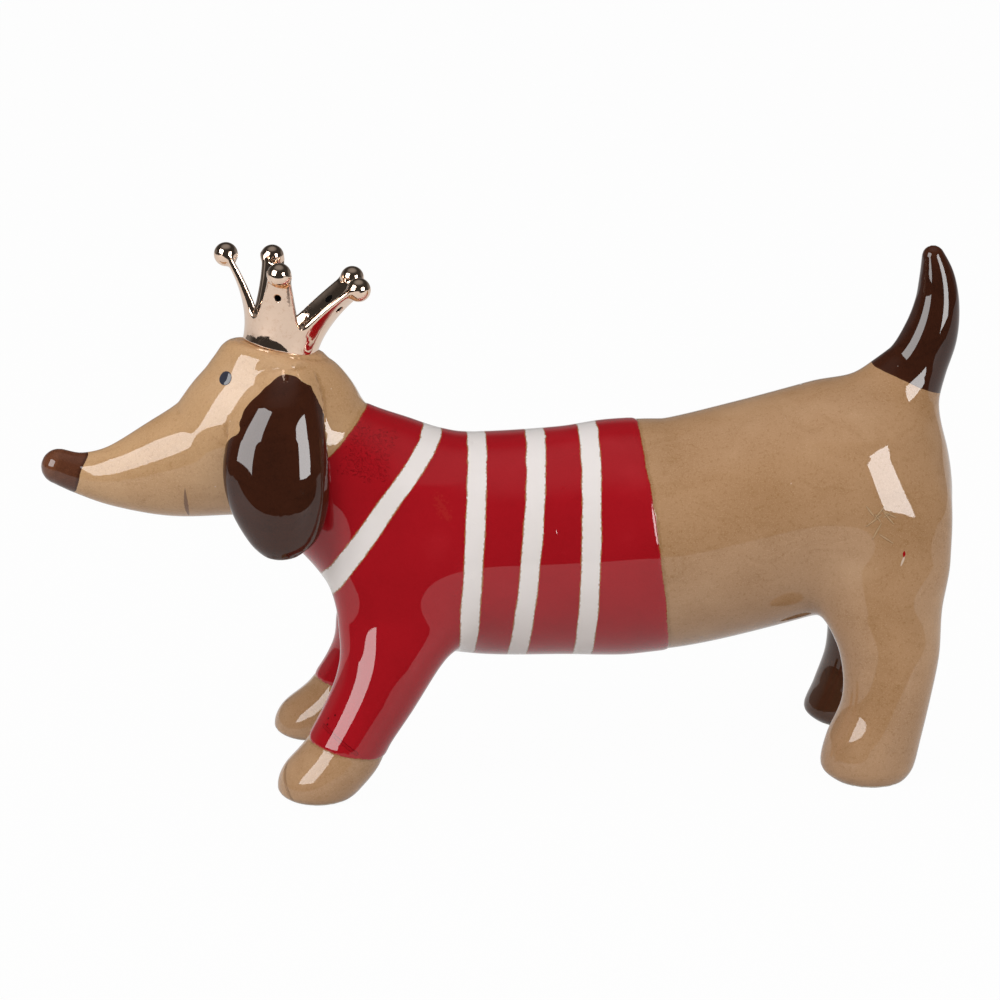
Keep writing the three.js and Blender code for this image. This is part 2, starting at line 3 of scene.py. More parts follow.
import bpy
import numpy as np
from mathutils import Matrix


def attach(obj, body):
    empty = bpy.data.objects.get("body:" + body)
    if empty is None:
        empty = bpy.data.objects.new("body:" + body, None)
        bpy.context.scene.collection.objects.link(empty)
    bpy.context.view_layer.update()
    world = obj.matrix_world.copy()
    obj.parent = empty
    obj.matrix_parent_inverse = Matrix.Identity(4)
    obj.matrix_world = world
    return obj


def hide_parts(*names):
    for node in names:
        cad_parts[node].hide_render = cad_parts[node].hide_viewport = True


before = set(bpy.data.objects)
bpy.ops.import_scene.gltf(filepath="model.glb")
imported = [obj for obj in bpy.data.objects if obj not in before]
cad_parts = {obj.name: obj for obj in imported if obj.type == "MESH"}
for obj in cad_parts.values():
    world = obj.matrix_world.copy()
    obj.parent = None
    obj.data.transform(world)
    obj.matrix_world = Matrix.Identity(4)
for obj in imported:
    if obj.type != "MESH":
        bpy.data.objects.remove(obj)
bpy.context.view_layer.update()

import openvdb
from mathutils import Matrix, Vector

MM = 0.001
LEFT = -1
RIGHT = 1

# The clay, as balls along the middle plane: x, z, radius, half width.
SPINE = [
    (79.6, 63.5, 26.6, 24.4),
    (62, 58.8, 26.9, 24.6),
    (43, 54.6, 27, 24.8),
    (31, 53.8, 27.4, 25.2),
    (16, 53, 26.2, 24.4),
    (-7, 53.2, 25.2, 24),
    (-19, 57.3, 22.9, 21.6),
    (-29.5, 64.2, 20, 18.2),
    (-40, 71.8, 17.4, 15.6),
    (-48, 78.8, 16, 14.4),
]
HEAD = [
    (-47.5, 79.8, 17.2, 15),
    (-52.8, 82, 20, 16.4),
    (-64.2, 76.7, 15.2, 13.2),
    (-76, 73.2, 11.7, 9.8),
    (-88, 71.3, 7.4, 6.8),
    (-96.5, 71.9, 4.95, 4.8),
    (-102.2, 73.8, 4.1, 4.2),
]
TAIL = [
    (90.2, 75.6, 12.4, 12.2),
    (92.8, 85.2, 10, 9.1),
    (97.3, 92.8, 7.3, 6.8),
    (100.6, 100.2, 6.3, 6),
    (102, 107.2, 5.2, 4.9),
    (101.9, 113.4, 4.1, 3.9),
    (100.9, 118.6, 2.6, 2.6),
]

# Legs as level ovals: height, x, y outwards, half length, half width, and how much further back
# the right leg stands.
FRONT_LEG = [
    (66, -18, 5.5, 12, 7, 0),
    (53, -22, 11.2, 15.2, 9.8, 0),
    (39.8, -23.2, 15.2, 14.3, 9.8, 0),
    (30.8, -26.2, 18, 11.3, 9.4, -1),
    (22.8, -30.2, 20, 10, 9, 0.3),
    (12.8, -36.6, 21.8, 9.8, 9.4, 0),
    (6.6, -40.9, 22.5, 11, 10.4, -1.5),
    (2, -43.5, 22.6, 9.8, 10.4, -2),
    (0, -43.6, 22.6, 7.8, 8.8, -2),
]
HIND_LEG = [
    (76, 81, 8, 12, 8, 0),
    (65, 85.4, 12.2, 16.6, 10, 0),
    (50.8, 86.8, 14.6, 16.8, 11, -0.8),
    (38.8, 87.7, 16.3, 13.9, 11, 1),
    (28.8, 89.2, 18.6, 11.5, 10.4, 2.4),
    (18.8, 88.3, 20.4, 10.2, 10.1, 2.6),
    (9.6, 85.4, 21, 11, 10.6, 3.6),
    (3, 84, 21.2, 10.8, 10.8, 2.4),
    (0, 84.4, 21.2, 8.4, 9.2, 2.2),
]

# Ears as level ovals: height, x, y outwards from the middle, half length, half thickness. An ear's
# outer face bulges, and its inner one is flatter.
EAR_BULGE = 1.65
SKULL_SIDE = 16.4
EAR = [
    (98.2, -48.2, SKULL_SIDE - 6.5, 2, 1.6),
    (95.8, -48.6, SKULL_SIDE - 3.8, 5, 3),
    (90.8, -49.6, SKULL_SIDE - 0.6, 8.4, 4),
    (83.8, -51, SKULL_SIDE + 2.4, 11, 4.4),
    (75.8, -51.5, SKULL_SIDE + 4, 12, 4.6),
    (67.8, -51, SKULL_SIDE + 4.8, 11.2, 4.8),
    (60.8, -50.4, SKULL_SIDE + 4.8, 8.4, 4.2),
    (57, -50.6, SKULL_SIDE + 4.6, 4.8, 2.6),
    (55.8, -50.8, SKULL_SIDE + 4.6, 1.4, 0.9),
]

# Edges of the coloured stretches, as planes: x, z, and how many degrees they look up from ahead.
HEM = (35.5, 53.8, -6.8)
COLLAR = (-41.4, 76, 45)
CUFF = {LEFT: (-38.2, 11.8, -76.5), RIGHT: (-38.2, 13.3, -76.5)}
STRIPES = {
    "neck_stripe": (-29, 63.4, 35),
    "chest_stripe": (-7.4, 53.2, 4.6),
    "belly_stripe": (5.5, 53, 6.2),
    "back_stripe": (19.4, 53.8, 2.6),
}
STRIPE_WIDTH = 4.4
NECK_STRIPE_BOW = 1.2
NOSE_LINE = (-96.9, 71.9, 20)
TAIL_LINE = (95.9, 89.8, 114.2)
HIND_LEG_TOP = (17.5, 13)
EAR_GLAZE = (-49.8, 85.5)
EAR_GLAZE_SIZE = (9.6, 12)
EYE = (-62.5, 95.7)
EYE_RADIUS = 1.7
SOLE_LINE = 0.7

# How far the sweater stands proud: a rounded lip at its edges, and more further in.
LIP = 1.5
LIP_RELIEF = 0.35
RELIEF = 0.8
RELIEF_REACH = 12

# Fillets of clay where the castings are luted together.
HEAD_FILLET = 2.5
SEAT_FILLET = 5
TAIL_FILLET = 9
FRONT_LEG_FILLET = 13
HIND_LEG_FILLET = 9
EAR_FILLET = 1.4
EAR_TOP_FILLET = 5.6

# The crown's own frame, and its sizes.
CROWN_TILT = math.radians(14.8)
CROWN_LEAN = math.radians(3)
CROWN_TURN = math.radians(3.8)
CROWN_FORWARD = 2.4
CROWN_SINK = 0.5
CROWN_BASE = 8.75
CROWN_TIP = 17.75
CROWN_HEIGHT = 18.1
CROWN_FLARE = 1.92
CROWN_WALL = 1.9
CROWN_POINTS = 5
BALL_RADIUS = 2.75
NOTCH_HEIGHT = 6.2
NOTCH_ROUND = 2.4
TIP_HALF_WIDTH = 2.6
ROOT_HALF_WIDTH = 5
POINT_TAPER = 1.3
PINHOLE_RADIUS = 0.75
PINHOLE_HEIGHT = 12.5
PINHOLE_DEPTH = 1.5
SEAT = [(0.05, 0.05), (0.14, 0.5), (0.45, 0.85), (1, 1)]
SEAT_DEPTH = 6.5
SEAT_FLARE = 5
SEAT_SIDE_FLARE = 2.6

BODY_PITCH = 1.0
CROWN_PITCH = 0.3


# Forms, as how far outside the clay a point is


def spline(stations, at):
    """The smooth curve through rows of sizes, at places counted in rows."""
    rows = np.asarray(stations, float)
    last = len(rows) - 1
    i = np.clip(np.floor(at).astype(int), 0, last - 1)
    w = (at - i)[:, None]
    before, start = rows[np.maximum(i - 1, 0)], rows[i]
    end, after = rows[i + 1], rows[np.minimum(i + 2, last)]
    leave, arrive = (end - before) / 2, (after - start) / 2
    bend = 2 * (start - end) + leave + arrive
    return ((bend * w + 3 * (end - start) - 2 * leave - arrive) * w + leave) * w + start


def over_balls(p, balls, samples=8):
    """How far points lie outside the skin over a row of balls."""
    far = 1e3
    at = np.linspace(0, len(balls) - 1, samples * (len(balls) - 1) + 1)
    best = np.full(len(p), far)
    left, right, previous = best.copy(), best.copy(), best.copy()
    newest = np.zeros(len(p), bool)
    for x, z, radius, half_width in spline(balls, at):
        here = (p[:, 0] - x) ** 2 + (p[:, 1] * (radius / half_width)) ** 2 + (p[:, 2] - z) ** 2
        here = np.sqrt(here) - radius
        right[newest] = here[newest]
        newest = here < best
        left[newest] = previous[newest]
        right[newest] = far
        best[newest] = here[newest]
        previous = here
    between = (left < far) & (right < far)
    bend = np.where(between, left - 2 * best + right, 1)
    return best - np.where(between & (bend > 1e-9), (right - left) ** 2 / (8 * np.maximum(bend, 1e-9)), 0)


def over_ovals(p, ovals, samples=40):
    """How far points lie outside the skin round a stack of level ovals, which has no ends."""
    rows = spline(ovals, np.linspace(0, len(ovals) - 1, samples * (len(ovals) - 1) + 1))
    rows = rows[np.argsort(rows[:, 0])]
    x, y, length, width = (np.interp(p[:, 2], rows[:, 0], rows[:, k]) for k in (1, 2, 3, 4))
    return off_oval(p[:, 0] - x, p[:, 1] - y, length, width)


def off_oval(u, v, length, width):
    q = np.hypot(u / length, v / width)
    steep = np.hypot(u / length**2, v / width**2)
    return q * (q - 1) / np.maximum(steep, 1e-6)


def joined(a, b, fillet):
    """Two forms luted together, with a fillet of clay between them."""
    h = np.maximum(fillet - np.abs(a - b), 0) / fillet
    return np.minimum(a, b) - h**3 * fillet / 6


def common(a, b, rounding):
    """What two forms have in common, with its edge rounded."""
    return -joined(-a, -b, rounding)


def eased(t):
    """A smooth step from 0 to 1."""
    t = np.clip(t, 0, 1)
    return t * t * (3 - 2 * t)


def ahead(p, edge):
    """How far points lie in front of an edge."""
    x, z, facing = edge
    turn = math.radians(facing)
    return -math.cos(turn) * (p[:, 0] - x) + math.sin(turn) * (p[:, 2] - z)


def ripple(p, length, seed):
    """A smooth random wave between about -1 and 1, with bumps about length apart."""
    rng = np.random.default_rng(seed)
    total = np.zeros(len(p))
    for _ in range(6):
        way = rng.normal(size=3)
        way *= 2 * math.pi / length * rng.uniform(0.7, 1.4) / np.linalg.norm(way)
        total += np.sin(p @ way + rng.uniform(0, 2 * math.pi))
    return total / 3


def on_side(ovals, side):
    """The ovals of a leg or an ear on one side of the dog."""
    rows = np.array([row[:5] for row in ovals], float)
    if side == RIGHT and len(ovals[0]) > 5:
        rows[:, 1] += [row[5] for row in ovals]
    rows[:, 2] *= side
    return rows


def crown_frame():
    s, c = math.sin(CROWN_TILT), math.cos(CROWN_TILT)
    tilt = np.array([[c, 0, s], [0, 1, 0], [-s, 0, c]])
    sl, cl = math.sin(-CROWN_LEAN), math.cos(CROWN_LEAN)
    lean = np.array([[1, 0, 0], [0, cl, -sl], [0, sl, cl]])
    x, z, radius, _ = HEAD[1]
    up = radius - CROWN_SINK
    return tilt @ lean, np.array([x - CROWN_FORWARD + s * up, 0, z + c * up])


CROWN_AXES, CROWN_MIDDLE = crown_frame()


def in_crown(p):
    return (p - CROWN_MIDDLE) @ CROWN_AXES


def seat_form(p):
    ovals = [
        (-down * SEAT_DEPTH, 0, 0, CROWN_BASE + spread * SEAT_FLARE, CROWN_BASE + spread * SEAT_SIDE_FLARE)
        for down, spread in SEAT
    ]
    q = in_crown(p)
    top, bottom = ovals[0][0], ovals[-1][0]
    return common(common(over_ovals(q, ovals), q[:, 2] - top, 1), bottom - q[:, 2], 1)


def leg_form(p, ovals, side):
    rows = on_side(ovals, side)
    return common(common(over_ovals(p, rows), p[:, 2] - rows[0, 0], 2), -p[:, 2], 1)


def ear_form(p, side):
    rows = on_side(EAR, side)
    thick = np.interp(p[:, 2], rows[::-1, 0], rows[::-1, 4])
    middle = np.interp(p[:, 2], rows[::-1, 0], np.abs(rows[::-1, 2])) + thick * (1 - EAR_BULGE)
    outward = side * p[:, 1] - middle
    flatter = np.where(outward < 0, EAR_BULGE / (2 - EAR_BULGE), 1)
    round_rows = np.stack([rows[:, 0], rows[:, 1], 0 * rows[:, 2], rows[:, 3], rows[:, 4] * EAR_BULGE], 1)
    q = np.stack([p[:, 0], outward * flatter, p[:, 2]], 1)
    return common(common(over_ovals(q, round_rows), p[:, 2] - rows[0, 0], 1), rows[-1, 0] - p[:, 2], 1)


def reach_of(balls, margin=14):
    rows = np.array(balls)
    low = (rows[:, :2] - rows[:, 2:3]).min(0) - margin
    high = (rows[:, :2] + rows[:, 2:3]).max(0) + margin
    side = rows[:, 3].max() + margin
    return np.array([low[0], -side, low[1]]), np.array([high[0], side, high[1]])


def reach_of_ovals(rows, margin=14):
    low = np.array([(rows[:, 1] - rows[:, 3]).min(), (rows[:, 2] - rows[:, 4]).min(), rows[:, 0].min()])
    high = np.array([(rows[:, 1] + rows[:, 3]).max(), (rows[:, 2] + rows[:, 4]).max(), rows[:, 0].max()])
    return low - margin, high + margin


def within(p, reach, form):
    """A form's distances, worked out only for the points that it can reach."""
    low, high = reach
    near = np.all((p > low) & (p < high), axis=1)
    out = np.full(len(p), 1e3)
    out[near] = form(p[near])
    return out


def parts_of(p):
    """How far points lie outside each part of the clay."""
    parts = {
        "trunk": over_balls(p, SPINE),
        "tail": within(p, reach_of(TAIL), lambda q: over_balls(q, TAIL)),
        "head": within(p, reach_of(HEAD), lambda q: over_balls(q, HEAD)),
        "seat": within(p, reach_of(HEAD[:2]), seat_form),
    }
    for word, side in (("left", LEFT), ("right", RIGHT)):
        for limb, ovals in (("front_leg", FRONT_LEG), ("hind_leg", HIND_LEG)):
            reach = reach_of_ovals(on_side(ovals, side))
            parts[f"{word}_{limb}"] = within(p, reach, lambda q, o=ovals, s=side: leg_form(q, o, s))
        reach = reach_of_ovals(on_side(EAR, side))
        parts[f"{word}_ear"] = within(p, reach, lambda q, s=side: ear_form(q, s))
    return parts


def without_ears(p, parts):
    """The whole dog but its ears."""
    whole = joined(parts["trunk"], parts["tail"], TAIL_FILLET)
    whole = joined(whole, joined(parts["head"], parts["seat"], SEAT_FILLET), HEAD_FILLET)
    for word in ("left", "right"):
        whole = joined(whole, parts[f"{word}_front_leg"], FRONT_LEG_FILLET)
        whole = joined(whole, parts[f"{word}_hind_leg"], HIND_LEG_FILLET)
    return whole


def clay(p, parts=None):
    """How far points lie outside the bare clay."""
    parts = parts or parts_of(p)
    whole = without_ears(p, parts)
    fillet = EAR_FILLET + (EAR_TOP_FILLET - EAR_FILLET) * eased((p[:, 2] - 74) / 18)
    for word in ("left", "right"):
        whole = joined(whole, parts[f"{word}_ear"], fillet)
    return whole


def slope(form, p, step=0.02):
    """The way out of a form at each point, with its steepness."""
    corners = np.array([[1, -1, -1], [-1, -1, 1], [-1, 1, -1], [1, 1, 1]], float)
    return sum(c * form(p + step * c)[:, None] for c in corners) / (4 * step)


def settle(form, p, rounds=2):
    """Moves points onto the surface of a form."""
    for _ in range(rounds):
        way = slope(form, p)
        steep = np.maximum((way**2).sum(1), 0.05)
        p = p - way * (np.clip(form(p), -1.5, 1.5) / steep)[:, None]
    return p


def skin_of(form, low, high, pitch):
    """Triangles over a form's surface, about pitch apart."""
    counts = np.ceil((np.array(high) - low) / pitch).astype(int) + 1
    axes = [low[k] + pitch * np.arange(counts[k]) for k in range(3)]
    values = np.empty(counts, np.float32)
    for i, x in enumerate(axes[0]):
        y, z = np.meshgrid(axes[1], axes[2], indexing="ij")
        slab = np.stack([np.full(y.size, x), y.ravel(), z.ravel()], 1)
        values[i] = form(slab).reshape(y.shape)
    grid = openvdb.FloatGrid(background=3 * pitch)
    grid.copyFromArray(np.clip(values, -3 * pitch, 3 * pitch))
    points, quads = grid.convertToQuads(isovalue=0)
    points = np.asarray(points, float) * pitch + low
    quads = np.asarray(quads, int)
    points = settle(form, points)
    a, b, c, d = (points[quads[:, k]] for k in range(4))
    long_way = np.linalg.norm(a - c, axis=1) > np.linalg.norm(b - d, axis=1)
    rolled = np.where(long_way[:, None], np.roll(quads, -1, axis=1), quads)
    triangles = np.concatenate([rolled[:, [0, 1, 2]], rolled[:, [0, 2, 3]]])
    middle = points[triangles].mean(1)
    n = np.cross(
        points[triangles[:, 1]] - points[triangles[:, 0]], points[triangles[:, 2]] - points[triangles[:, 0]]
    )
    if (n * slope(form, middle)).sum() < 0:
        triangles = triangles[:, ::-1]
    return points, triangles


# Cutting a skin along the edges of its colours


class Skin:
    """Triangles over a surface, with named values at their corners."""

    def __init__(self, points, triangles):
        self.points, self.triangles, self.values = points, triangles, {}

    def score(self, name, level=0.0, snap=0.12):
        """Adds points where a value passes a level, so that each triangle lies on one side of it."""
        f = self.values[name] - level
        scale = np.median(np.abs(f[self.triangles[:, 0]] - f[self.triangles[:, 1]])) + 1e-9
        near = np.abs(f) < snap * min(scale, 0.5)
        self.values[name] = np.where(near, level, self.values[name])
        f = np.where(near, 0.0, f)
        t = self.triangles
        crossing = (f[t] * f[np.roll(t, -1, axis=1)] < 0)
        touched = crossing.any(1)
        if not touched.any():
            return
        pairs = np.sort(np.stack([t, np.roll(t, -1, axis=1)], 2)[crossing], axis=1)
        edges, index = np.unique(pairs, axis=0, return_inverse=True)
        share = f[edges[:, 0]] / (f[edges[:, 0]] - f[edges[:, 1]])
        mix = lambda v: v[edges[:, 0]] + (v[edges[:, 1]] - v[edges[:, 0]]) * (
            share[:, None] if v.ndim > 1 else share
        )
        made = np.full(t.shape, -1)
        made[crossing] = len(self.points) + index.ravel()
        self.points = np.concatenate([self.points, mix(self.points)])
        for key, value in self.values.items():
            new = mix(value)
            self.values[key] = np.concatenate([value, np.full(len(new), level) if key == name else new])
        kept = [t[~touched]]
        count = crossing.sum(1)
        for turn in range(3):
            a, b, c = (np.roll(t, -turn, axis=1)[:, k] for k in range(3))
            ab, bc, ca = (np.roll(made, -turn, axis=1)[:, k] for k in range(3))
            one = (count == 1) & (ab >= 0)
            kept += [np.stack([a, ab, c], 1)[one], np.stack([ab, b, c], 1)[one]]
            two = (count == 2) & (ab >= 0) & (ca >= 0)
            kept += [
                np.stack([a, ab, ca], 1)[two],
                np.stack([ab, b, c], 1)[two],
                np.stack([ab, c, ca], 1)[two],
            ]
        self.triangles = np.concatenate(kept)

    def inside(self, name):
        """Which triangles lie where a value is below zero."""
        return self.values[name][self.triangles].sum(1) < 0


def corner_normals(points, triangles):
    """Smooth normals of a skin, from its triangles."""
    a, b, c = (points[triangles[:, k]] for k in range(3))
    n = np.cross(b - a, c - a)
    out = np.zeros_like(points)
    for k in range(3):
        np.add.at(out, triangles[:, k], n)
    return out / np.maximum(np.linalg.norm(out, axis=1), 1e-12)[:, None]


def piece_object(name, points, triangles, normals, values, material):
    """An object from triangles with a normal at each of their corners."""
    mesh = bpy.data.meshes.new(name)
    mesh.from_pydata((points * MM).tolist(), [], triangles.tolist())
    mesh.polygons.foreach_set("use_smooth", np.ones(len(triangles), bool))
    for key, value in values.items():
        attribute = mesh.attributes.new(key, "FLOAT", "POINT")
        attribute.data.foreach_set("value", value.astype(np.float32))
    mesh.update()
    mesh.normals_split_custom_set(normals.tolist())
    mesh.materials.append(material)
    made = bpy.data.objects.new(name, mesh)
    bpy.context.scene.collection.objects.link(made)
    return made


def shell(name, skin, chosen, wall, material, keep=("edge", "crease")):
    """A closed casting from the chosen triangles of a skin, as thick as wall."""
    triangles = skin.triangles[chosen]
    used, inverse = np.unique(triangles, return_inverse=True)
    outer = inverse.reshape(-1, 3)
    n = len(used)
    points = skin.points[used]
    inner_points = skin.bare[used] - skin.way[used] * wall
    pairs = np.stack([outer, np.roll(outer, -1, axis=1)], 2).reshape(-1, 2)
    order = np.sort(pairs, axis=1)
    _, index, count = np.unique(order, axis=0, return_index=True, return_counts=True)
    rim = pairs[index[count == 1]]
    a, b = rim[:, 0], rim[:, 1]
    walls = np.concatenate([np.stack([b, a, a + n], 1), np.stack([b, a + n, b + n], 1)])
    everything = np.concatenate([points, inner_points])
    inner = outer[:, ::-1] + n
    faces = np.concatenate([outer, inner, walls])
    smooth = skin.normals[used]
    flat = np.cross(
        everything[walls[:, 1]] - everything[walls[:, 0]], everything[walls[:, 2]] - everything[walls[:, 0]]
    )
    flat /= np.maximum(np.linalg.norm(flat, axis=1), 1e-9)[:, None]
    normals = np.concatenate(
        [smooth[outer].reshape(-1, 3), -skin.way[used][inner - n].reshape(-1, 3), np.repeat(flat, 3, axis=0)]
    )
    values = {key: np.tile(skin.values[key][used], 2) for key in keep}
    return piece_object(name, everything, faces, normals, values, material)


# The dog's skin


def dog_skin():
    low, high = np.array([-110.0, -38.0, -2.5]), np.array([110.0, 38.0, 124.0])
    skin = Skin(*skin_of(clay, low, high, BODY_PITCH))
    set_edges(skin)
    for level in (0, 0.1, 0.35, 0.8, LIP):
        skin.score("sweater", level)
    for name in [k for k in skin.values if k != "sweater"]:
        skin.score(name)
    return skin


def set_edges(skin):
    """How far each point is from the edge of each colour; below zero is inside it."""
    p = skin.points
    parts = parts_of(p)
    rest = without_ears(p, parts)
    wobble = ripple(p, 9, 1) * 0.16 + ripple(p, 2.6, 2) * 0.05
    values = skin.values
    behind_collar = -ahead(p, COLLAR)
    before_hem = ahead(p, HEM)
    above_cuff = np.where(p[:, 1] < 0, -ahead(p, CUFF[LEFT]), -ahead(p, CUFF[RIGHT]))
    values["sweater"] = np.minimum(np.minimum(behind_collar, before_hem), above_cuff) + wobble
    front = np.minimum(parts["left_front_leg"], parts["right_front_leg"])
    hind = np.minimum(parts["left_hind_leg"], parts["right_hind_leg"])
    for word, side in (("left", LEFT), ("right", RIGHT)):
        bare_border = 1.7 * eased((p[:, 2] - 70) / 12) * eased((-48 - p[:, 0]) / 4)
        brown = np.clip(parts[f"{word}_ear"] - rest, -20, 20) + wobble + bare_border
        across, above = (p[:, [0, 2]] - EAR_GLAZE).T
        arch = off_oval(across, np.maximum(above, 0), *EAR_GLAZE_SIZE) - np.maximum(-above, 0)
        values[f"{word}_ear"] = common(brown, arch + ripple(p, 3, 6) * 0.35, 3)
    for name, edge in STRIPES.items():
        bow = NECK_STRIPE_BOW * np.exp(-(((p[:, 2] - 79) / 7) ** 2)) if name == "neck_stripe" else 0
        band = np.abs(ahead(p, edge) + bow) - STRIPE_WIDTH / 2 + ripple(p, 7, 3) * 0.1
        values[name] = np.maximum(band, np.clip(parts["trunk"] - front, -20, 20) - 4)
    values["nose_cap"] = -ahead(p, NOSE_LINE) + wobble * 2
    values["tail"] = -ahead(p, TAIL_LINE) + wobble
    values["soles"] = p[:, 2] - SOLE_LINE + wobble * 0.4
    values["front_legs"] = np.clip(front - parts["trunk"], -20, 20)
    across, above = p[:, 0] - 86.8, p[:, 2] - 42
    arch = off_oval(across, np.maximum(above, 0), *HIND_LEG_TOP) - np.maximum(-above, 0)
    values["hind_legs"] = common(np.clip(hind - parts["trunk"], -20, 20) - 1, arch, 4) + wobble * 2


def raise_sweater(skin):
    """Lifts the sweater off the bare clay, with rounded lips, and sets every normal."""
    skin.bare = settle(clay, skin.points, 1)
    skin.way = slope(clay, skin.bare)
    skin.way /= np.maximum(np.linalg.norm(skin.way, axis=1), 1e-9)[:, None]
    inside = skin.values["sweater"]
    s = np.clip(inside / LIP, 0, 1)
    relief = LIP_RELIEF * np.sqrt(1 - (1 - s) ** 2) + (RELIEF - LIP_RELIEF) * eased(inside / RELIEF_REACH)
    off_ear = eased(np.minimum(skin.values["left_ear"], skin.values["right_ear"]) / 1.2)
    skin.points = skin.bare + skin.way * (relief * off_ear)[:, None]
    meshed = corner_normals(skin.points, skin.triangles)
    near_lip = eased((3 - np.abs(skin.values["sweater"])) / 1.5)
    near_ear = eased((2.5 - np.abs(np.minimum(skin.values["left_ear"], skin.values["right_ear"]))) / 1.5)
    share = np.maximum(near_lip, near_ear * (skin.values["sweater"] > 0))[:, None]
    mixed = skin.way * (1 - share) + meshed * share
    skin.normals = mixed / np.linalg.norm(mixed, axis=1)[:, None]
    lift = slope_change(skin)
    skin.values["crease"] = lift


def slope_change(skin):
    """How hollow the surface is at each point, above zero in a crease."""
    t = skin.triangles
    out, weight = np.zeros(len(skin.points)), np.zeros(len(skin.points))
    for k in range(3):
        a, b = t[:, k], t[:, (k + 1) % 3]
        d = skin.points[b] - skin.points[a]
        length = np.linalg.norm(d, axis=1) + 1e-6
        bend = ((skin.normals[a] - skin.normals[b]) * d).sum(1) / length**2
        for end in (a, b):
            np.add.at(out, end, bend * length)
            np.add.at(weight, end, length)
    return out / np.maximum(weight, 1e-9)


# Materials


def new_group(name, inputs, outputs):
    group = bpy.data.node_groups.new(name, "ShaderNodeTree")
    for label, kind, value in inputs:
        socket = group.interface.new_socket(name=label, in_out="INPUT", socket_type=kind)
        if value is not None:
            socket.default_value = value
    for label, kind in outputs:
        group.interface.new_socket(name=label, in_out="OUTPUT", socket_type=kind)
    return group


def add(tree, kind, inputs=None, **settings):
    """A node with settings, whose inputs are values or other nodes' outputs."""
    node = tree.nodes.new(kind)
    for key, value in settings.items():
        setattr(node, key, value)
    for key, value in (inputs or {}).items():
        if isinstance(value, bpy.types.NodeSocket):
            tree.links.new(value, node.inputs[key])
        else:
            node.inputs[key].default_value = value
    return node


def math_node(tree, operation, a, b=None, clamp=False):
    inputs = {0: a} if b is None else {0: a, 1: b}
    return add(tree, "ShaderNodeMath", inputs, operation=operation, use_clamp=clamp).outputs[0]


def ramp(tree, value, low, high, to_low=0.0, to_high=1.0):
    """value from low..high to to_low..to_high, smoothly and clamped."""
    inputs = {"Value": value, "From Min": low, "From Max": high, "To Min": to_low, "To Max": to_high}
    return add(tree, "ShaderNodeMapRange", inputs, interpolation_type="SMOOTHSTEP").outputs["Result"]


def mixed(tree, share, a, b, blend="MIX"):
    node = add(tree, "ShaderNodeMix", data_type="RGBA", blend_type=blend)
    for key, value in ((0, share), (6, a), (7, b)):
        if isinstance(value, bpy.types.NodeSocket):
            tree.links.new(value, node.inputs[key])
        else:
            node.inputs[key].default_value = value
    return node.outputs[2]


def noise(tree, where, scale, detail=2.0, rough=0.5, lacunarity=2.0):
    inputs = {"Vector": where, "Scale": scale, "Detail": detail, "Roughness": rough, "Lacunarity": lacunarity}
    return add(tree, "ShaderNodeTexNoise", inputs).outputs["Fac"]


def place(tree, scale=(1, 1, 1), turn=(0, 0, 0)):
    """The object's own coordinates, in metres, stretched and turned."""
    where = add(tree, "ShaderNodeTexCoord").outputs["Object"]
    return add(tree, "ShaderNodeMapping", {"Vector": where, "Scale": scale, "Rotation": turn}).outputs[0]


def colour(code):
    """A colour from its hex code, as light."""
    parts = [int(code[k : k + 2], 16) / 255 for k in (0, 2, 4)]
    return tuple(c / 12.92 if c <= 0.04045 else ((c + 0.055) / 1.055) ** 2.4 for c in parts) + (1.0,)


def swayed(tree, where, scale, amount):
    """Places moved about by slow noise, so that what is drawn at them wanders."""
    drift = add(tree, "ShaderNodeTexNoise", {"Vector": where, "Scale": scale}).outputs["Color"]
    sway = add(tree, "ShaderNodeVectorMath", {0: drift, "Scale": amount}, operation="SCALE").outputs[0]
    return add(tree, "ShaderNodeVectorMath", {0: where, 1: sway}, operation="ADD").outputs[0]


def times(tree, a, b):
    return math_node(tree, "MULTIPLY", a, b)


def plus(tree, a, b, clamp=False):
    return math_node(tree, "ADD", a, b, clamp)


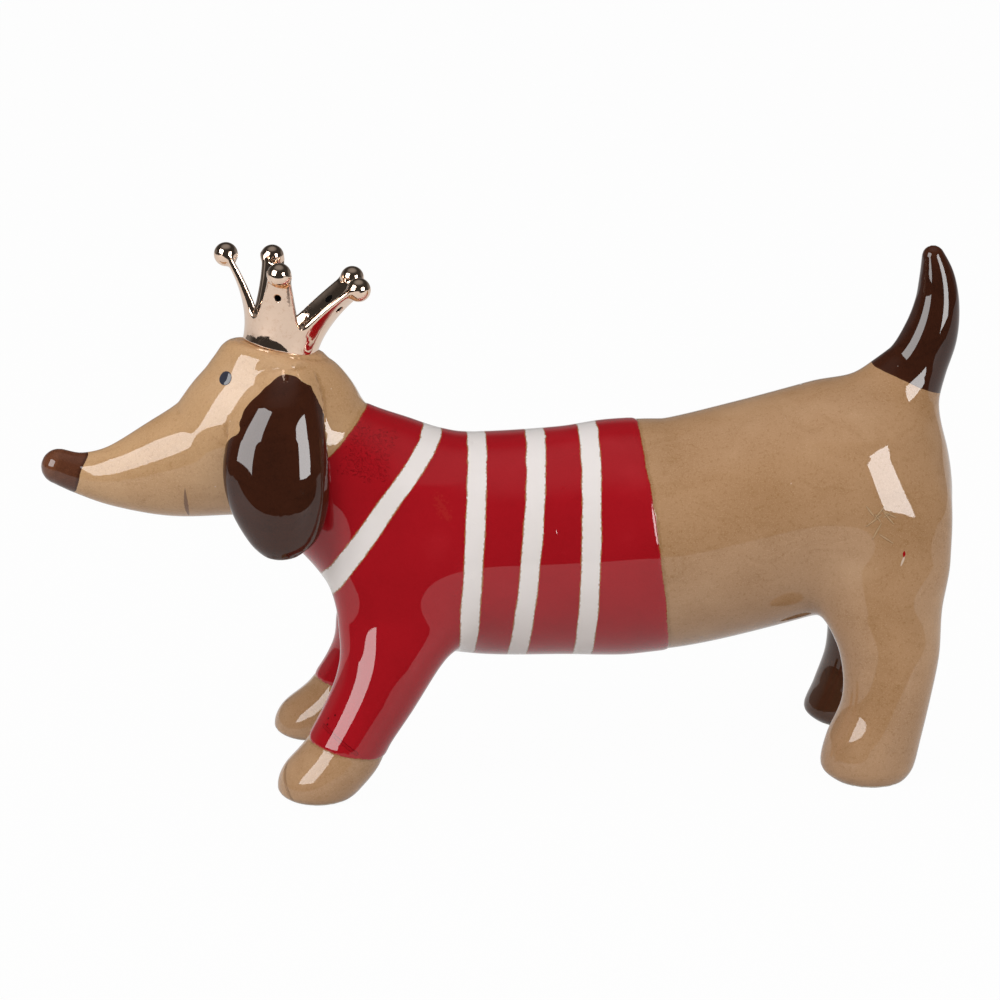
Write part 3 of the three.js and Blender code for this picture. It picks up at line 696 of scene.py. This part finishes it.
def brushed_glaze_group():
    """The colour of a brushed glaze: streaks, clouds, grain, pooling in creases and a ragged edge."""
    group = new_group(
        "brushed_glaze",
        [
            ("Glaze", "NodeSocketColor", None),
            ("Deep", "NodeSocketColor", None),
            ("Thin", "NodeSocketColor", None),
            ("Rim", "NodeSocketColor", None),
            ("Streaks", "NodeSocketFloat", 0.5),
            ("Clouds", "NodeSocketFloat", 0.5),
            ("Grain", "NodeSocketFloat", 0.3),
            ("Rim Width", "NodeSocketFloat", 0.3),
            ("Rim Strength", "NodeSocketFloat", 0.5),
            ("Edge", "NodeSocketFloat", 5.0),
            ("Crease", "NodeSocketFloat", 0.0),
        ],
        [("Colour", "NodeSocketColor")],
    )
    given = group.nodes.new("NodeGroupInput").outputs
    out = group.nodes.new("NodeGroupOutput")
    where = place(group)
    along = add(
        group, "ShaderNodeMapping", {"Vector": swayed(group, where, 45.0, 0.03), "Scale": (90, 150, 420)}
    ).outputs[0]
    streak = noise(group, along, 1.0, 3, 0.6)
    cloud = noise(group, where, 55.0, 3, 0.55)
    mottle = noise(group, where, 1500.0, 3, 0.6)
    grain = noise(group, where, 3600.0, 2, 0.6)
    deep = times(group, ramp(group, streak, 0.45, 0.75), given["Streaks"])
    deep = plus(group, deep, times(group, ramp(group, cloud, 0.42, 0.72), given["Clouds"]))
    deep = plus(group, deep, times(group, ramp(group, mottle, 0.5, 0.72), given["Grain"]))
    deep = plus(group, deep, ramp(group, given["Crease"], 0.01, 0.12, 0, 0.6), clamp=True)
    thin = times(group, ramp(group, cloud, 0.45, 0.25), given["Clouds"])
    thin = plus(group, thin, times(group, ramp(group, grain, 0.5, 0.28), given["Grain"]))
    thin = plus(group, thin, ramp(group, given["Crease"], -0.12, -0.4, 0, 0.5), clamp=True)
    made = mixed(group, deep, given["Glaze"], given["Deep"])
    made = mixed(group, thin, made, given["Thin"])
    ragged = plus(group, given["Edge"], ramp(group, mottle, 0.35, 0.65, -0.13, 0.13))
    rim = ramp(group, math_node(group, "DIVIDE", ragged, given["Rim Width"]), 1.0, 0.3)
    made = mixed(group, times(group, rim, given["Rim Strength"]), made, given["Rim"])
    group.links.new(made, out.inputs["Colour"])
    return group


def glaze_skin_group():
    """The height of a fired glaze: slow waves, a fine orange peel and pin marks."""
    group = new_group(
        "glaze_skin",
        [("Waves", "NodeSocketFloat", 1.0), ("Peel", "NodeSocketFloat", 1.0), ("Pits", "NodeSocketFloat", 0.5)],
        [("Height", "NodeSocketFloat"), ("Dust", "NodeSocketFloat")],
    )
    given = group.nodes.new("NodeGroupInput").outputs
    out = group.nodes.new("NodeGroupOutput")
    where = place(group)
    waves = times(group, noise(group, where, 75.0, 1, 0.4), given["Waves"])
    peel = times(group, noise(group, where, 900.0, 2, 0.5), times(group, given["Peel"], 0.012))
    spots = add(group, "ShaderNodeTexVoronoi", {"Vector": where, "Scale": 260.0, "Randomness": 1.0})
    spot = ramp(group, spots.outputs["Distance"], 0.06, 0.02)
    chance = add(group, "ShaderNodeSeparateColor", {0: spots.outputs["Color"]}).outputs[0]
    spot = times(group, spot, ramp(group, chance, 0.93, 0.95))
    pits = times(group, spot, times(group, given["Pits"], -0.05))
    group.links.new(plus(group, plus(group, waves, peel), pits), out.inputs["Height"])
    group.links.new(spot, out.inputs["Dust"])
    return group


def stroke_group():
    """A short brushed or tooled stroke from one place to another: 1 on it and 0 off it."""
    group = new_group(
        "stroke",
        [
            ("Start", "NodeSocketVector", None),
            ("End", "NodeSocketVector", None),
            ("Facing", "NodeSocketVector", None),
            ("Width", "NodeSocketFloat", 0.5),
            ("Pointed", "NodeSocketFloat", 0.0),
            ("Ragged", "NodeSocketFloat", 0.2),
        ],
        [("Mask", "NodeSocketFloat")],
    )
    given = group.nodes.new("NodeGroupInput").outputs
    out = group.nodes.new("NodeGroupOutput")

    def vector(operation, a, b=None, result=0, **more):
        inputs = {0: a, **({1: b} if b is not None else {}), **more}
        return add(group, "ShaderNodeVectorMath", inputs, operation=operation).outputs[result]

    def level(a):
        """A way with its part along the facing taken off, and that part."""
        along = vector("DOT_PRODUCT", a, given["Facing"], 1)
        return vector("SUBTRACT", a, vector("SCALE", given["Facing"], Scale=along)), along

    where = place(group)
    whole, _ = level(vector("SUBTRACT", given["End"], given["Start"]))
    off, depth = level(vector("SUBTRACT", where, given["Start"]))
    length = plus(group, vector("DOT_PRODUCT", whole, whole, 1), 1e-12)
    share = math_node(group, "DIVIDE", vector("DOT_PRODUCT", off, whole, 1), length, clamp=True)
    nearest = vector("SCALE", whole, Scale=share)
    away = vector("LENGTH", vector("SUBTRACT", off, nearest), result=1)
    rough = times(group, ramp(group, noise(group, where, 1500.0, 2), 0.3, 0.7, -0.5, 0.5), given["Ragged"])
    swell = times(group, times(group, share, math_node(group, "SUBTRACT", 1.0, share)), 4.0)
    slim = math_node(group, "SUBTRACT", 1.0, given["Pointed"])
    half = times(group, times(group, given["Width"], 0.5 * MM), plus(group, slim, times(group, swell, given["Pointed"])))
    reach = plus(group, math_node(group, "DIVIDE", away, plus(group, half, 1e-6)), rough)
    near = math_node(group, "LESS_THAN", math_node(group, "ABSOLUTE", depth), 6 * MM)
    group.links.new(times(group, ramp(group, reach, 1.0, 0.6), near), out.inputs["Mask"])
    return group


BRUSHED = brushed_glaze_group()
FIRED = glaze_skin_group()
STROKE = stroke_group()


def group_node(tree, group, inputs):
    node = add(tree, "ShaderNodeGroup", node_tree=group)
    for key, value in inputs.items():
        if isinstance(value, bpy.types.NodeSocket):
            tree.links.new(value, node.inputs[key])
        else:
            node.inputs[key].default_value = value
    return node


def glaze(name, base, deep, thin, rim, streaks=0.2, clouds=0.5, grain=0.3, rim_width=0.3, rim_strength=0.7,
          waves=1.0, peel=1.0, pits=0.5, marks=()):
    """A glossy fired glaze, with any marks: places in millimetres, a width, and a tint or a depth."""
    material = bpy.data.materials.new(name)
    material.use_nodes = True
    tree = material.node_tree
    shader = tree.nodes["Principled BSDF"]
    edge = add(tree, "ShaderNodeAttribute", attribute_name="edge").outputs["Fac"]
    crease = add(tree, "ShaderNodeAttribute", attribute_name="crease").outputs["Fac"]
    tint = group_node(
        tree,
        BRUSHED,
        {
            "Glaze": colour(base),
            "Deep": colour(deep),
            "Thin": colour(thin),
            "Rim": colour(rim),
            "Streaks": streaks,
            "Clouds": clouds,
            "Grain": grain,
            "Rim Width": rim_width,
            "Rim Strength": rim_strength,
            "Edge": edge,
            "Crease": crease,
        },
    ).outputs["Colour"]
    fired = group_node(tree, FIRED, {"Waves": waves, "Peel": peel, "Pits": pits})
    tint = mixed(tree, times(tree, fired.outputs["Dust"], 0.5), tint, colour("e8d8cc"))
    bump = add(tree, "ShaderNodeBump", {"Height": fired.outputs["Height"], "Strength": 0.35, "Distance": 0.0006})
    for mark in marks:
        mask = group_node(
            tree,
            STROKE,
            {
                "Start": [c * MM for c in mark["start"]],
                "End": [c * MM for c in mark["end"]],
                "Facing": Vector(mark.get("facing", (0, -1, 0))).normalized(),
                "Width": mark["width"],
                "Pointed": mark.get("pointed", 0.0),
                "Ragged": mark.get("ragged", 0.2),
            },
        ).outputs["Mask"]
        if "tint" in mark:
            tint = mixed(tree, times(tree, mask, mark.get("strength", 0.8)), tint, colour(mark["tint"]))
        if "depth" in mark:
            inputs = {"Height": mask, "Distance": -mark["depth"] * MM, "Normal": bump.outputs[0]}
            bump = add(tree, "ShaderNodeBump", inputs)
    tree.links.new(tint, shader.inputs["Base Color"])
    tree.links.new(bump.outputs[0], shader.inputs["Normal"])
    tree.links.new(ramp(tree, fired.outputs["Height"], 0.3, 0.8, 0.3, 0.4), shader.inputs["Roughness"])
    shader.inputs["Specular IOR Level"].default_value = 0.0
    shader.inputs["Coat Weight"].default_value = 1.0
    shader.inputs["Coat Roughness"].default_value = 0.025
    shader.inputs["Coat IOR"].default_value = 1.5
    return material


MOUTH = [
    dict(start=(-72.6, side * 10.7, 70.8), end=(-72.4, side * 4.5, 62), facing=(-0.13, side * 0.75, -0.6),
         width=1.2, pointed=1.0, tint="6b4a3a", strength=0.75)
    for side in (LEFT, RIGHT)
]
# Toe creases in the paws: bumped grooves, with painted shade darkening the glaze along them.
TOE_CREASES = [
    dict(start=(-51 - shift, side * 22.6, 8.2), end=(-50.2 - shift, side * 30.4, 1.6), facing=(-0.7, side * 0.5, 0.4),
         width=0.9, depth=0.3, tint="86603c", strength=0.4)
    for side, shift in ((LEFT, 0), (RIGHT, 2))
]
RED_SPECK = dict(start=(91, -23.2, 55), end=(90.9, -23.2, 53.8), width=0.8, pointed=0.6, tint="9e1018", strength=1.0)
PALE_DRIP = dict(start=(91.1, -23.2, 54), end=(90.2, -23.2, 51.8), width=0.7, pointed=0.7, tint="e6d6c4", strength=0.6)
# A fold at the cuff: a bumped groove, with painted shade darkening the red along it.
CUFF_FOLD = dict(start=(-42.2, -26, 17.6), end=(-34.8, -31.2, 12.3), facing=(-0.3, -0.75, 0.35), width=0.9,
                 depth=0.3, tint="7c0a12", strength=0.25)
# Pinholes in the cuff glaze: small dents, each painted dark red as painted shade in the hole.
CUFF_PINHOLES = [
    dict(start=spot, end=spot, facing=(-0.65, -0.55, 0.5), width=0.55, depth=0.2, tint="4a060a", strength=0.9)
    for spot in ((-40.8, -25.7, 19), (-39.1, -26.7, 20), (-41, -26.5, 17.8))
]
BRUSH_PATCH = dict(start=(-15, -18, 69), end=(-13, -20, 65), width=2.6, pointed=0.4, ragged=2.0, tint="b03a2c",
                   strength=0.22)


COLLAR_LUMPS = dict(start=(-32, -12, 81), end=(-29, -15, 75.5), width=6, pointed=0.5, ragged=3.5, depth=-0.5)


def scratches(count):
    """Fine raised scratches in the clay of the left hip."""
    rng = np.random.default_rng(9)
    made = []
    for _ in range(count):
        x, z = rng.uniform(82.4, 87.4), rng.uniform(55.5, 65)
        lean = rng.choice([-1, 1]) * rng.uniform(0.5, 1.1)
        reach = rng.uniform(1.0, 2.2)
        ends = [(x + way * reach * math.sin(lean), -24.2, z + way * reach * math.cos(lean)) for way in (-1, 1)]
        made.append(dict(start=ends[0], end=ends[1], width=0.5, pointed=0.5, depth=-0.3, tint="c9a983", strength=0.6))
    return made


TAN = dict(base="b28b66", deep="9c744c", thin="c39e7a", rim="8a6038", rim_strength=0.0, grain=0.5, clouds=0.4,
           streaks=0.3)
# The face's glaze is a lighter copy of the caramel glaze: painted light, standing in for the stronger light that falls
# on the head.
LIT_TAN = dict(TAN, base="c79f75", deep="b0875c", thin="d4af8b")
RUMP_GLAZE = glaze("caramel_rump_glaze", **TAN, marks=scratches(9) + [PALE_DRIP, RED_SPECK])
PAW_GLAZE = glaze("caramel_paw_glaze", **TAN, marks=TOE_CREASES)
FACE_GLAZE = glaze("caramel_face_glaze", **LIT_TAN, marks=MOUTH)
RED = dict(base="a5131d", deep="940f17", thin="b2222a", rim="a2703a", streaks=0.1, clouds=0.4, grain=0.25,
           rim_width=0.22, rim_strength=0.7)
RED_GLAZE = glaze("poppy_glaze", **RED, marks=[BRUSH_PATCH, COLLAR_LUMPS])
CUFF_GLAZE = glaze("poppy_cuff_glaze", **RED, marks=CUFF_PINHOLES + [CUFF_FOLD])
WHITE_GLAZE = glaze("milk_glaze", "ebe4e0", "e2dad4", "f0eae6", "97663a", streaks=0.1, clouds=0.4, grain=0.1,
                    rim_width=0.2, rim_strength=0.7)
BROWN_GLAZE = glaze("treacle_glaze", "3f1f12", "2c140b", "4a281a", "4a2a1a", streaks=0.3, clouds=0.4, grain=0.3,
                    rim_width=0.5, rim_strength=0.4)
NOSE_GLAZE = glaze("thin_treacle_glaze", "5d3524", "40200f", "7a4c33", "3c2014", streaks=0.3, clouds=0.7,
                   grain=0.4, rim_width=0.9, rim_strength=0.7)
LEG_GLAZE = glaze("chestnut_glaze", "5a3824", "4a2d1c", "6c4832", "5c3a26", streaks=0.3, clouds=0.5, grain=0.3,
                  rim_width=0.5, rim_strength=0.4)
EYE_GLAZE = glaze("ink_enamel", "363843", "2a2b34", "454754", "363843", streaks=0.1, clouds=0.2, grain=0.1,
                  rim_strength=0.0)


def bare_clay():
    material = bpy.data.materials.new("bare_bisque")
    material.use_nodes = True
    tree = material.node_tree
    shader = tree.nodes["Principled BSDF"]
    where = place(tree)
    cloud = noise(tree, where, 160.0, 3)
    grit = noise(tree, where, 2600.0, 3, 0.7)
    tint = mixed(tree, ramp(tree, cloud, 0.35, 0.7), colour("e9e1d4"), colour("d8cbb8"))
    tint = mixed(tree, ramp(tree, grit, 0.6, 0.75, 0, 0.5), tint, colour("b7a68f"))
    tree.links.new(tint, shader.inputs["Base Color"])
    tree.links.new(ramp(tree, grit, 0.3, 0.7, 0.75, 0.95), shader.inputs["Roughness"])
    bump = add(tree, "ShaderNodeBump", {"Height": grit, "Strength": 0.5, "Distance": 0.0002})
    tree.links.new(bump.outputs[0], shader.inputs["Normal"])
    return material


def plating():
    """Polished rose-gold plate over a cast body, with faint casting waves and grime; the pinholes are painted black
    inside as painted shade.
    """
    material = bpy.data.materials.new("rose_gold_plating")
    material.use_nodes = True
    tree = material.node_tree
    shader = tree.nodes["Principled BSDF"]
    where = place(tree)
    wave = noise(tree, where, 240.0, 2)
    grime = noise(tree, where, 700.0, 4, 0.7)
    hole = add(tree, "ShaderNodeAttribute", attribute_name="hole").outputs["Fac"]
    # Painted shade: inside each pinhole the plate turns black and not metal, standing for the dark in the hole.
    hole_shade = ramp(tree, hole, 0.1, 0.3)
    tint = mixed(tree, ramp(tree, grime, 0.5, 0.8, 0, 0.5), colour("f2d6c0"), colour("d2a182"))
    tint = mixed(tree, hole_shade, tint, (0.004, 0.003, 0.003, 1))
    tree.links.new(tint, shader.inputs["Base Color"])
    tree.links.new(ramp(tree, grime, 0.45, 0.75, 0.04, 0.14), shader.inputs["Roughness"])
    tree.links.new(math_node(tree, "SUBTRACT", 1.0, hole_shade), shader.inputs["Metallic"])
    bump = add(tree, "ShaderNodeBump", {"Height": wave, "Strength": 0.25, "Distance": 0.0004})
    tree.links.new(bump.outputs[0], shader.inputs["Normal"])
    return material


def clear_glue():
    material = bpy.data.materials.new("clear_glue")
    material.use_nodes = True
    tree = material.node_tree
    shader = tree.nodes["Principled BSDF"]
    cloud = noise(tree, place(tree), 500.0, 3)
    tree.links.new(mixed(tree, cloud, colour("ddd0bb"), colour("c9b796")), shader.inputs["Base Color"])
    tree.links.new(ramp(tree, cloud, 0.3, 0.7, 0.12, 0.3), shader.inputs["Roughness"])
    shader.inputs["Coat Weight"].default_value = 0.6
    return material


BISQUE = bare_clay()
ROSE_GOLD = plating()
GLUE = clear_glue()


# Pieces


def settle_piece(piece, node):
    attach(piece, "root")
    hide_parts(node)
    return piece


def dog_pieces():
    skin = dog_skin()
    raise_sweater(skin)
    p = skin.points[skin.triangles].mean(1)
    left, front = p[:, 1] < 0, p[:, 0] < 20
    free = np.ones(len(skin.triangles), bool)

    def take(name, chosen, wall, material, edge, node=None):
        nonlocal free
        chosen = chosen & free
        free &= ~chosen
        skin.values["edge"] = edge
        settle_piece(shell(name, skin, chosen, wall, material), node or name)

    v = skin.values
    away = np.full(len(skin.points), 9.0)
    sole = skin.inside("soles")
    for word, side in (("left", left), ("right", ~left)):
        take(f"{word}_front_sole", sole & side & front, 0.6, BISQUE, away)
        take(f"{word}_hind_sole", sole & side & ~front, 0.6, BISQUE, away)
    take("nose_cap", skin.inside("nose_cap"), 1.2, NOSE_GLAZE, -v["nose_cap"])
    take("tail", skin.inside("tail"), 1.4, BROWN_GLAZE, -v["tail"])
    for word in ("left", "right"):
        take(f"{word}_ear", skin.inside(f"{word}_ear"), 1.4, BROWN_GLAZE, -v[f"{word}_ear"])
    dressed = v["sweater"][skin.triangles].sum(1) > 0
    off_stripes = v["sweater"].copy()
    for name in STRIPES:
        off_stripes = np.minimum(off_stripes, v[name])
    for name in STRIPES:
        take(name, dressed & skin.inside(name), 0.8, WHITE_GLAZE, -v[name])
    for word, side in (("left", left), ("right", ~left)):
        take(f"{word}_sleeve", dressed & skin.inside("front_legs") & side, 1.4, CUFF_GLAZE, off_stripes)
    take("sweater", dressed, 1.4, RED_GLAZE, off_stripes)
    bare_edge = np.minimum(-v["sweater"], 9.0)
    for word, side in (("left", left), ("right", ~left)):
        take(f"{word}_front_leg", front & skin.inside("front_legs") & side, 1.6, PAW_GLAZE, bare_edge)
        brown = word == "right"
        take(
            f"{word}_hind_leg",
            ~front & skin.inside("hind_legs") & side,
            1.6,
            LEG_GLAZE if brown else RUMP_GLAZE,
            -v["hind_legs"] if brown else away,
        )
    take("head_casting", front, 1.6, FACE_GLAZE, bare_edge)
    take("body_casting", ~front, 1.6, RUMP_GLAZE, bare_edge)


def crown_radius(h):
    return CROWN_BASE + (CROWN_TIP - CROWN_BASE) * np.clip(h / CROWN_HEIGHT, 0, None) ** CROWN_FLARE


def pinhole_depth(q):
    """How deep points lie in a pinhole, measured in from the crown's outside."""
    along, across = in_sector(q)
    hole = np.hypot(across, q[:, 2] - PINHOLE_HEIGHT) < PINHOLE_RADIUS + 0.1
    return np.where(hole, crown_radius(q[:, 2]) - along, 0)


def in_sector(q):
    """How far points lie along and across the middle of the nearest crown point."""
    sector = 2 * math.pi / CROWN_POINTS
    turn = np.arctan2(q[:, 1], q[:, 0]) - math.pi - CROWN_TURN
    off = np.mod(turn + sector / 2, sector) - sector / 2
    out = np.hypot(q[:, 0], q[:, 1])
    return out * np.cos(off), out * np.sin(off)


def point_half_width(height):
    rise = np.clip((height - NOTCH_HEIGHT) / (CROWN_HEIGHT - NOTCH_HEIGHT), 0, 1)
    return TIP_HALF_WIDTH + (ROOT_HALF_WIDTH - TIP_HALF_WIDTH) * (1 - rise) ** POINT_TAPER


def crown_form(q):
    """How far points in the crown's frame lie outside its metal."""
    h, out = q[:, 2], np.hypot(q[:, 0], q[:, 1])
    along, across = in_sector(q)
    step = 0.05
    radius = crown_radius(h)
    flare = (crown_radius(h + step) - radius) / step
    sheet = (np.abs(out - radius + CROWN_WALL / 2) - CROWN_WALL / 2) / np.sqrt(1 + flare**2)
    width = point_half_width(h)
    taper = (point_half_width(h + step) - width) / step
    sideways = (np.abs(across) - width) / np.sqrt(1 + taper**2)
    outline = joined(sideways, h - NOTCH_HEIGHT, NOTCH_ROUND)
    metal = common(sheet, outline, 1.0)
    metal = common(metal, -h, 0.5)
    metal = common(metal, h - CROWN_HEIGHT, 0.5)
    tip = CROWN_TIP - CROWN_WALL / 2
    ball = np.sqrt((along - tip) ** 2 + across**2 + (h - CROWN_HEIGHT) ** 2) - BALL_RADIUS
    metal = joined(metal, ball, 1.2)
    hole = np.hypot(across, h - PINHOLE_HEIGHT) - PINHOLE_RADIUS
    hole = common(hole, radius - PINHOLE_DEPTH - out, 0.2)
    return common(metal, -hole, 0.35)


def crown_piece():
    room = CROWN_TIP + BALL_RADIUS + 1
    low, high = np.array([-room, -room, -0.8]), np.array([room, room, CROWN_HEIGHT + BALL_RADIUS + 0.8])
    points, triangles = skin_of(crown_form, low, high, CROWN_PITCH)
    way = slope(crown_form, points)
    way /= np.linalg.norm(way, axis=1)[:, None]
    depth = pinhole_depth(points)
    points = points @ CROWN_AXES.T + CROWN_MIDDLE
    normals = (way @ CROWN_AXES.T)[triangles].reshape(-1, 3)
    made = piece_object("crown", points, triangles, normals, {"hole": depth}, ROSE_GOLD)
    return settle_piece(made, "crown")


def glue_piece():
    """A slumped bead of glue inside the crown's rim."""
    sides, rows = 72, 10
    turns = np.linspace(0, 2 * math.pi, sides, endpoint=False)
    rng = np.random.default_rng(5)
    swell = 1 + 0.12 * sum(np.sin(k * turns + rng.uniform(0, 6)) / k for k in (2, 3, 5, 7))
    outer = CROWN_BASE - CROWN_WALL - 0.05
    points = []
    for turn, big in zip(turns, swell):
        for row in range(rows):
            angle = 2 * math.pi * row / rows
            out = outer - 0.75 * big + 0.75 * big * math.cos(angle)
            up = 0.62 * big + 0.6 * big * math.sin(angle)
            points.append((out * math.cos(turn), out * math.sin(turn), up))
    points = np.array(points) @ CROWN_AXES.T + CROWN_MIDDLE
    faces = []
    for side in range(sides):
        for row in range(rows):
            a, b = side * rows + row, side * rows + (row + 1) % rows
            c, d = ((side + 1) % sides) * rows + (row + 1) % rows, ((side + 1) % sides) * rows + row
            faces += [(a, d, c), (a, c, b)]
    faces = np.array(faces)
    normals = corner_normals(points, faces)[faces].reshape(-1, 3)
    made = piece_object("crown_glue", points, faces, normals, {}, GLUE)
    return settle_piece(made, "crown_glue")


def eye_pieces():
    """A drop of dark enamel on each side of the head."""
    sides, rings = 40, 7
    for word, side in (("left", LEFT), ("right", RIGHT)):
        start = np.array([[EYE[0], side * 30.0, EYE[1]]])
        inward = np.array([[0, -side, 0.0]])
        for _ in range(60):
            start = start + inward * np.clip(clay(start), -1, 4)[:, None] * 0.8
        start = settle(clay, start)
        out = slope(clay, start)[0]
        out /= np.linalg.norm(out)
        across = np.cross(out, (0, 0, 1))
        across /= np.linalg.norm(across)
        up = np.cross(across, out)
        rng = np.random.default_rng(11 + side)
        turns = np.linspace(0, 2 * math.pi, sides, endpoint=False)
        wobble = 1 + 0.03 * np.sin(2 * turns + rng.uniform(0, 6)) + 0.02 * np.sin(3 * turns + rng.uniform(0, 6))
        points, heights = [start[0]], [1.0]
        for ring in range(1, rings + 1):
            share = ring / rings
            for turn, w in zip(turns, wobble):
                reach = EYE_RADIUS * share * w
                points.append(start[0] + across * reach * 1.12 * math.cos(turn) + up * reach * 1.04 * math.sin(turn))
                heights.append(1 - share**4)
        points = settle(clay, np.array(points))
        ways = slope(clay, points)
        ways /= np.linalg.norm(ways, axis=1)[:, None]
        top = points + ways * (0.22 * np.array(heights) - 0.05)[:, None]
        under = points - ways * 0.35
        count = len(points)
        fan = [(0, 1 + k, 1 + (k + 1) % sides) for k in range(sides)]
        for ring in range(rings - 1):
            for k in range(sides):
                a, b = 1 + ring * sides + k, 1 + ring * sides + (k + 1) % sides
                fan += [(a, a + sides, b + sides), (a, b + sides, b)]
        fan = np.array(fan)
        rim = 1 + (rings - 1) * sides + np.arange(sides)
        after = np.roll(rim, -1)
        walls = np.concatenate([np.stack([rim, rim + count, after + count], 1), np.stack([rim, after + count, after], 1)])
        n = np.cross(top[fan[:, 1]] - top[fan[:, 0]], top[fan[:, 2]] - top[fan[:, 0]]).sum(0)
        faces = np.concatenate([fan, fan[:, ::-1] + count, walls])
        everything = np.concatenate([top, under])
        if n @ out < 0:
            faces = faces[:, ::-1]
        normals = corner_normals(everything, faces)[faces].reshape(-1, 3)
        values = {"edge": np.full(2 * count, 9.0), "crease": np.zeros(2 * count)}
        made = piece_object(f"{word}_eye", everything, faces, normals, values, EYE_GLAZE)
        settle_piece(made, f"{word}_eye")


dog_pieces()
crown_piece()
glue_piece()
eye_pieces()


# Studio


def floor_and_background():
    """A white table that ends in front of the dog, in a dark room with a pale wall behind it."""
    near, far, half = -0.31, 3.0, 2.0
    mesh = bpy.data.meshes.new("studio_table")
    mesh.from_pydata([(-half, near, 0), (half, near, 0), (half, far, 0), (-half, far, 0)], [], [(0, 1, 2, 3)])
    table = bpy.data.objects.new("studio_table", mesh)
    bpy.context.scene.collection.objects.link(table)
    material = bpy.data.materials.new("white_table")
    material.use_nodes = True
    tree = material.node_tree
    shader = tree.nodes["Principled BSDF"]
    shader.inputs["Base Color"].default_value = (0.55, 0.54, 0.52, 1)
    shader.inputs["Roughness"].default_value = 0.6
    shader.inputs["Specular IOR Level"].default_value = 0.2
    path = add(tree, "ShaderNodeLightPath").outputs
    seen = plus(tree, times(tree, path["Is Camera Ray"], 0.975), times(tree, path["Is Glossy Ray"], 0.5))
    glow = add(tree, "ShaderNodeEmission", {"Color": (1, 1, 1, 1), "Strength": 1.0})
    mix = add(tree, "ShaderNodeMixShader")
    tree.links.new(seen, mix.inputs[0])
    tree.links.new(shader.outputs[0], mix.inputs[1])
    tree.links.new(glow.outputs[0], mix.inputs[2])
    tree.links.new(mix.outputs[0], tree.nodes["Material Output"].inputs["Surface"])
    mesh.materials.append(material)

    world = bpy.data.worlds.new("studio")
    bpy.context.scene.world = world
    world.use_nodes = True
    tree = world.node_tree
    background = tree.nodes["Background"]
    path = add(tree, "ShaderNodeLightPath").outputs
    way = add(tree, "ShaderNodeSeparateXYZ", {0: add(tree, "ShaderNodeTexCoord").outputs["Generated"]}).outputs
    behind = ramp(tree, way["Y"], 0.05, 0.45)
    low = ramp(tree, way["Z"], 0.5, 0.2)
    ceiling = ramp(tree, way["Z"], 0.75, 1.0, 0, 0.25)
    shade = plus(tree, times(tree, times(tree, behind, low), 0.15), ceiling, clamp=True)
    room = mixed(tree, shade, (0.04, 0.038, 0.036, 1), (1, 1, 1, 1))
    tint = mixed(tree, path["Is Glossy Ray"], (0.62, 0.62, 0.63, 1), room)
    tint = mixed(tree, path["Is Camera Ray"], tint, (1, 1, 1, 1))
    tree.links.new(tint, background.inputs["Color"])
    background.inputs["Strength"].default_value = 1.0


def softbox(name, azimuth, elevation, distance, wide, high, light, shine):
    """A softbox in a direction from the camera's side, whose width and height are angles.

    It lights the dog with one brightness and shows in the glaze with another.
    """
    around, above = math.radians(azimuth), math.radians(elevation)
    middle = Vector((0, 0, 0.06))
    way = Vector((math.sin(around) * math.cos(above), -math.cos(around) * math.cos(above), math.sin(above)))
    size = [2 * distance * math.tan(math.radians(angle / 2)) for angle in (wide, high)]
    for part, glow, back in (("shine", shine, 0), ("light", light, 0.02)):
        lamp = bpy.data.lights.new(f"{name}_{part}", "AREA")
        lamp.shape = "RECTANGLE"
        lamp.size, lamp.size_y = size
        lamp.energy = glow * math.pi * size[0] * size[1]
        made = bpy.data.objects.new(f"{name}_{part}", lamp)
        bpy.context.scene.collection.objects.link(made)
        made.location = middle + way * (distance + back)
        made.rotation_mode = "QUATERNION"
        made.rotation_quaternion = (-way).to_track_quat("-Z", "Y")
        made.visible_glossy = part == "shine"
        made.visible_diffuse = part == "light"


def lights():
    softbox("left_softbox", -54, 29, 0.9, 34, 38, light=2.3, shine=7.0)
    softbox("right_softbox", 43, 18, 0.9, 23, 30, light=2.5, shine=10.5)
    softbox("top_softbox", -30, 80, 1.1, 50, 50, light=0.6, shine=0.0)


def camera():
    distance, lens_pixels, frame_pixels = 0.680, 2903.5, 1000
    elevation, azimuth, roll = (math.radians(a) for a in (14.5, -2.5, 0.8))
    target = Vector((0, 0, 0.0631))
    back = Vector(
        (
            math.sin(azimuth) * math.cos(elevation),
            -math.cos(azimuth) * math.cos(elevation),
            math.sin(elevation),
        )
    )
    flat = Vector((math.cos(azimuth), math.sin(azimuth), 0))
    above = back.cross(flat)
    right = flat * math.cos(roll) - above * math.sin(roll)
    up = flat * math.sin(roll) + above * math.cos(roll)
    data = bpy.data.cameras.new("camera")
    data.sensor_width = 36
    data.lens = 36 * lens_pixels / frame_pixels
    made = bpy.data.objects.new("camera", data)
    bpy.context.scene.collection.objects.link(made)
    turn = Matrix((right, up, back)).transposed()
    made.matrix_world = Matrix.Translation(target + back * distance) @ turn.to_4x4()
    data.clip_start, data.clip_end = 0.01, 20
    bpy.context.scene.camera = made


floor_and_background()
lights()
camera()
bpy.context.scene.view_settings.view_transform = "Standard"
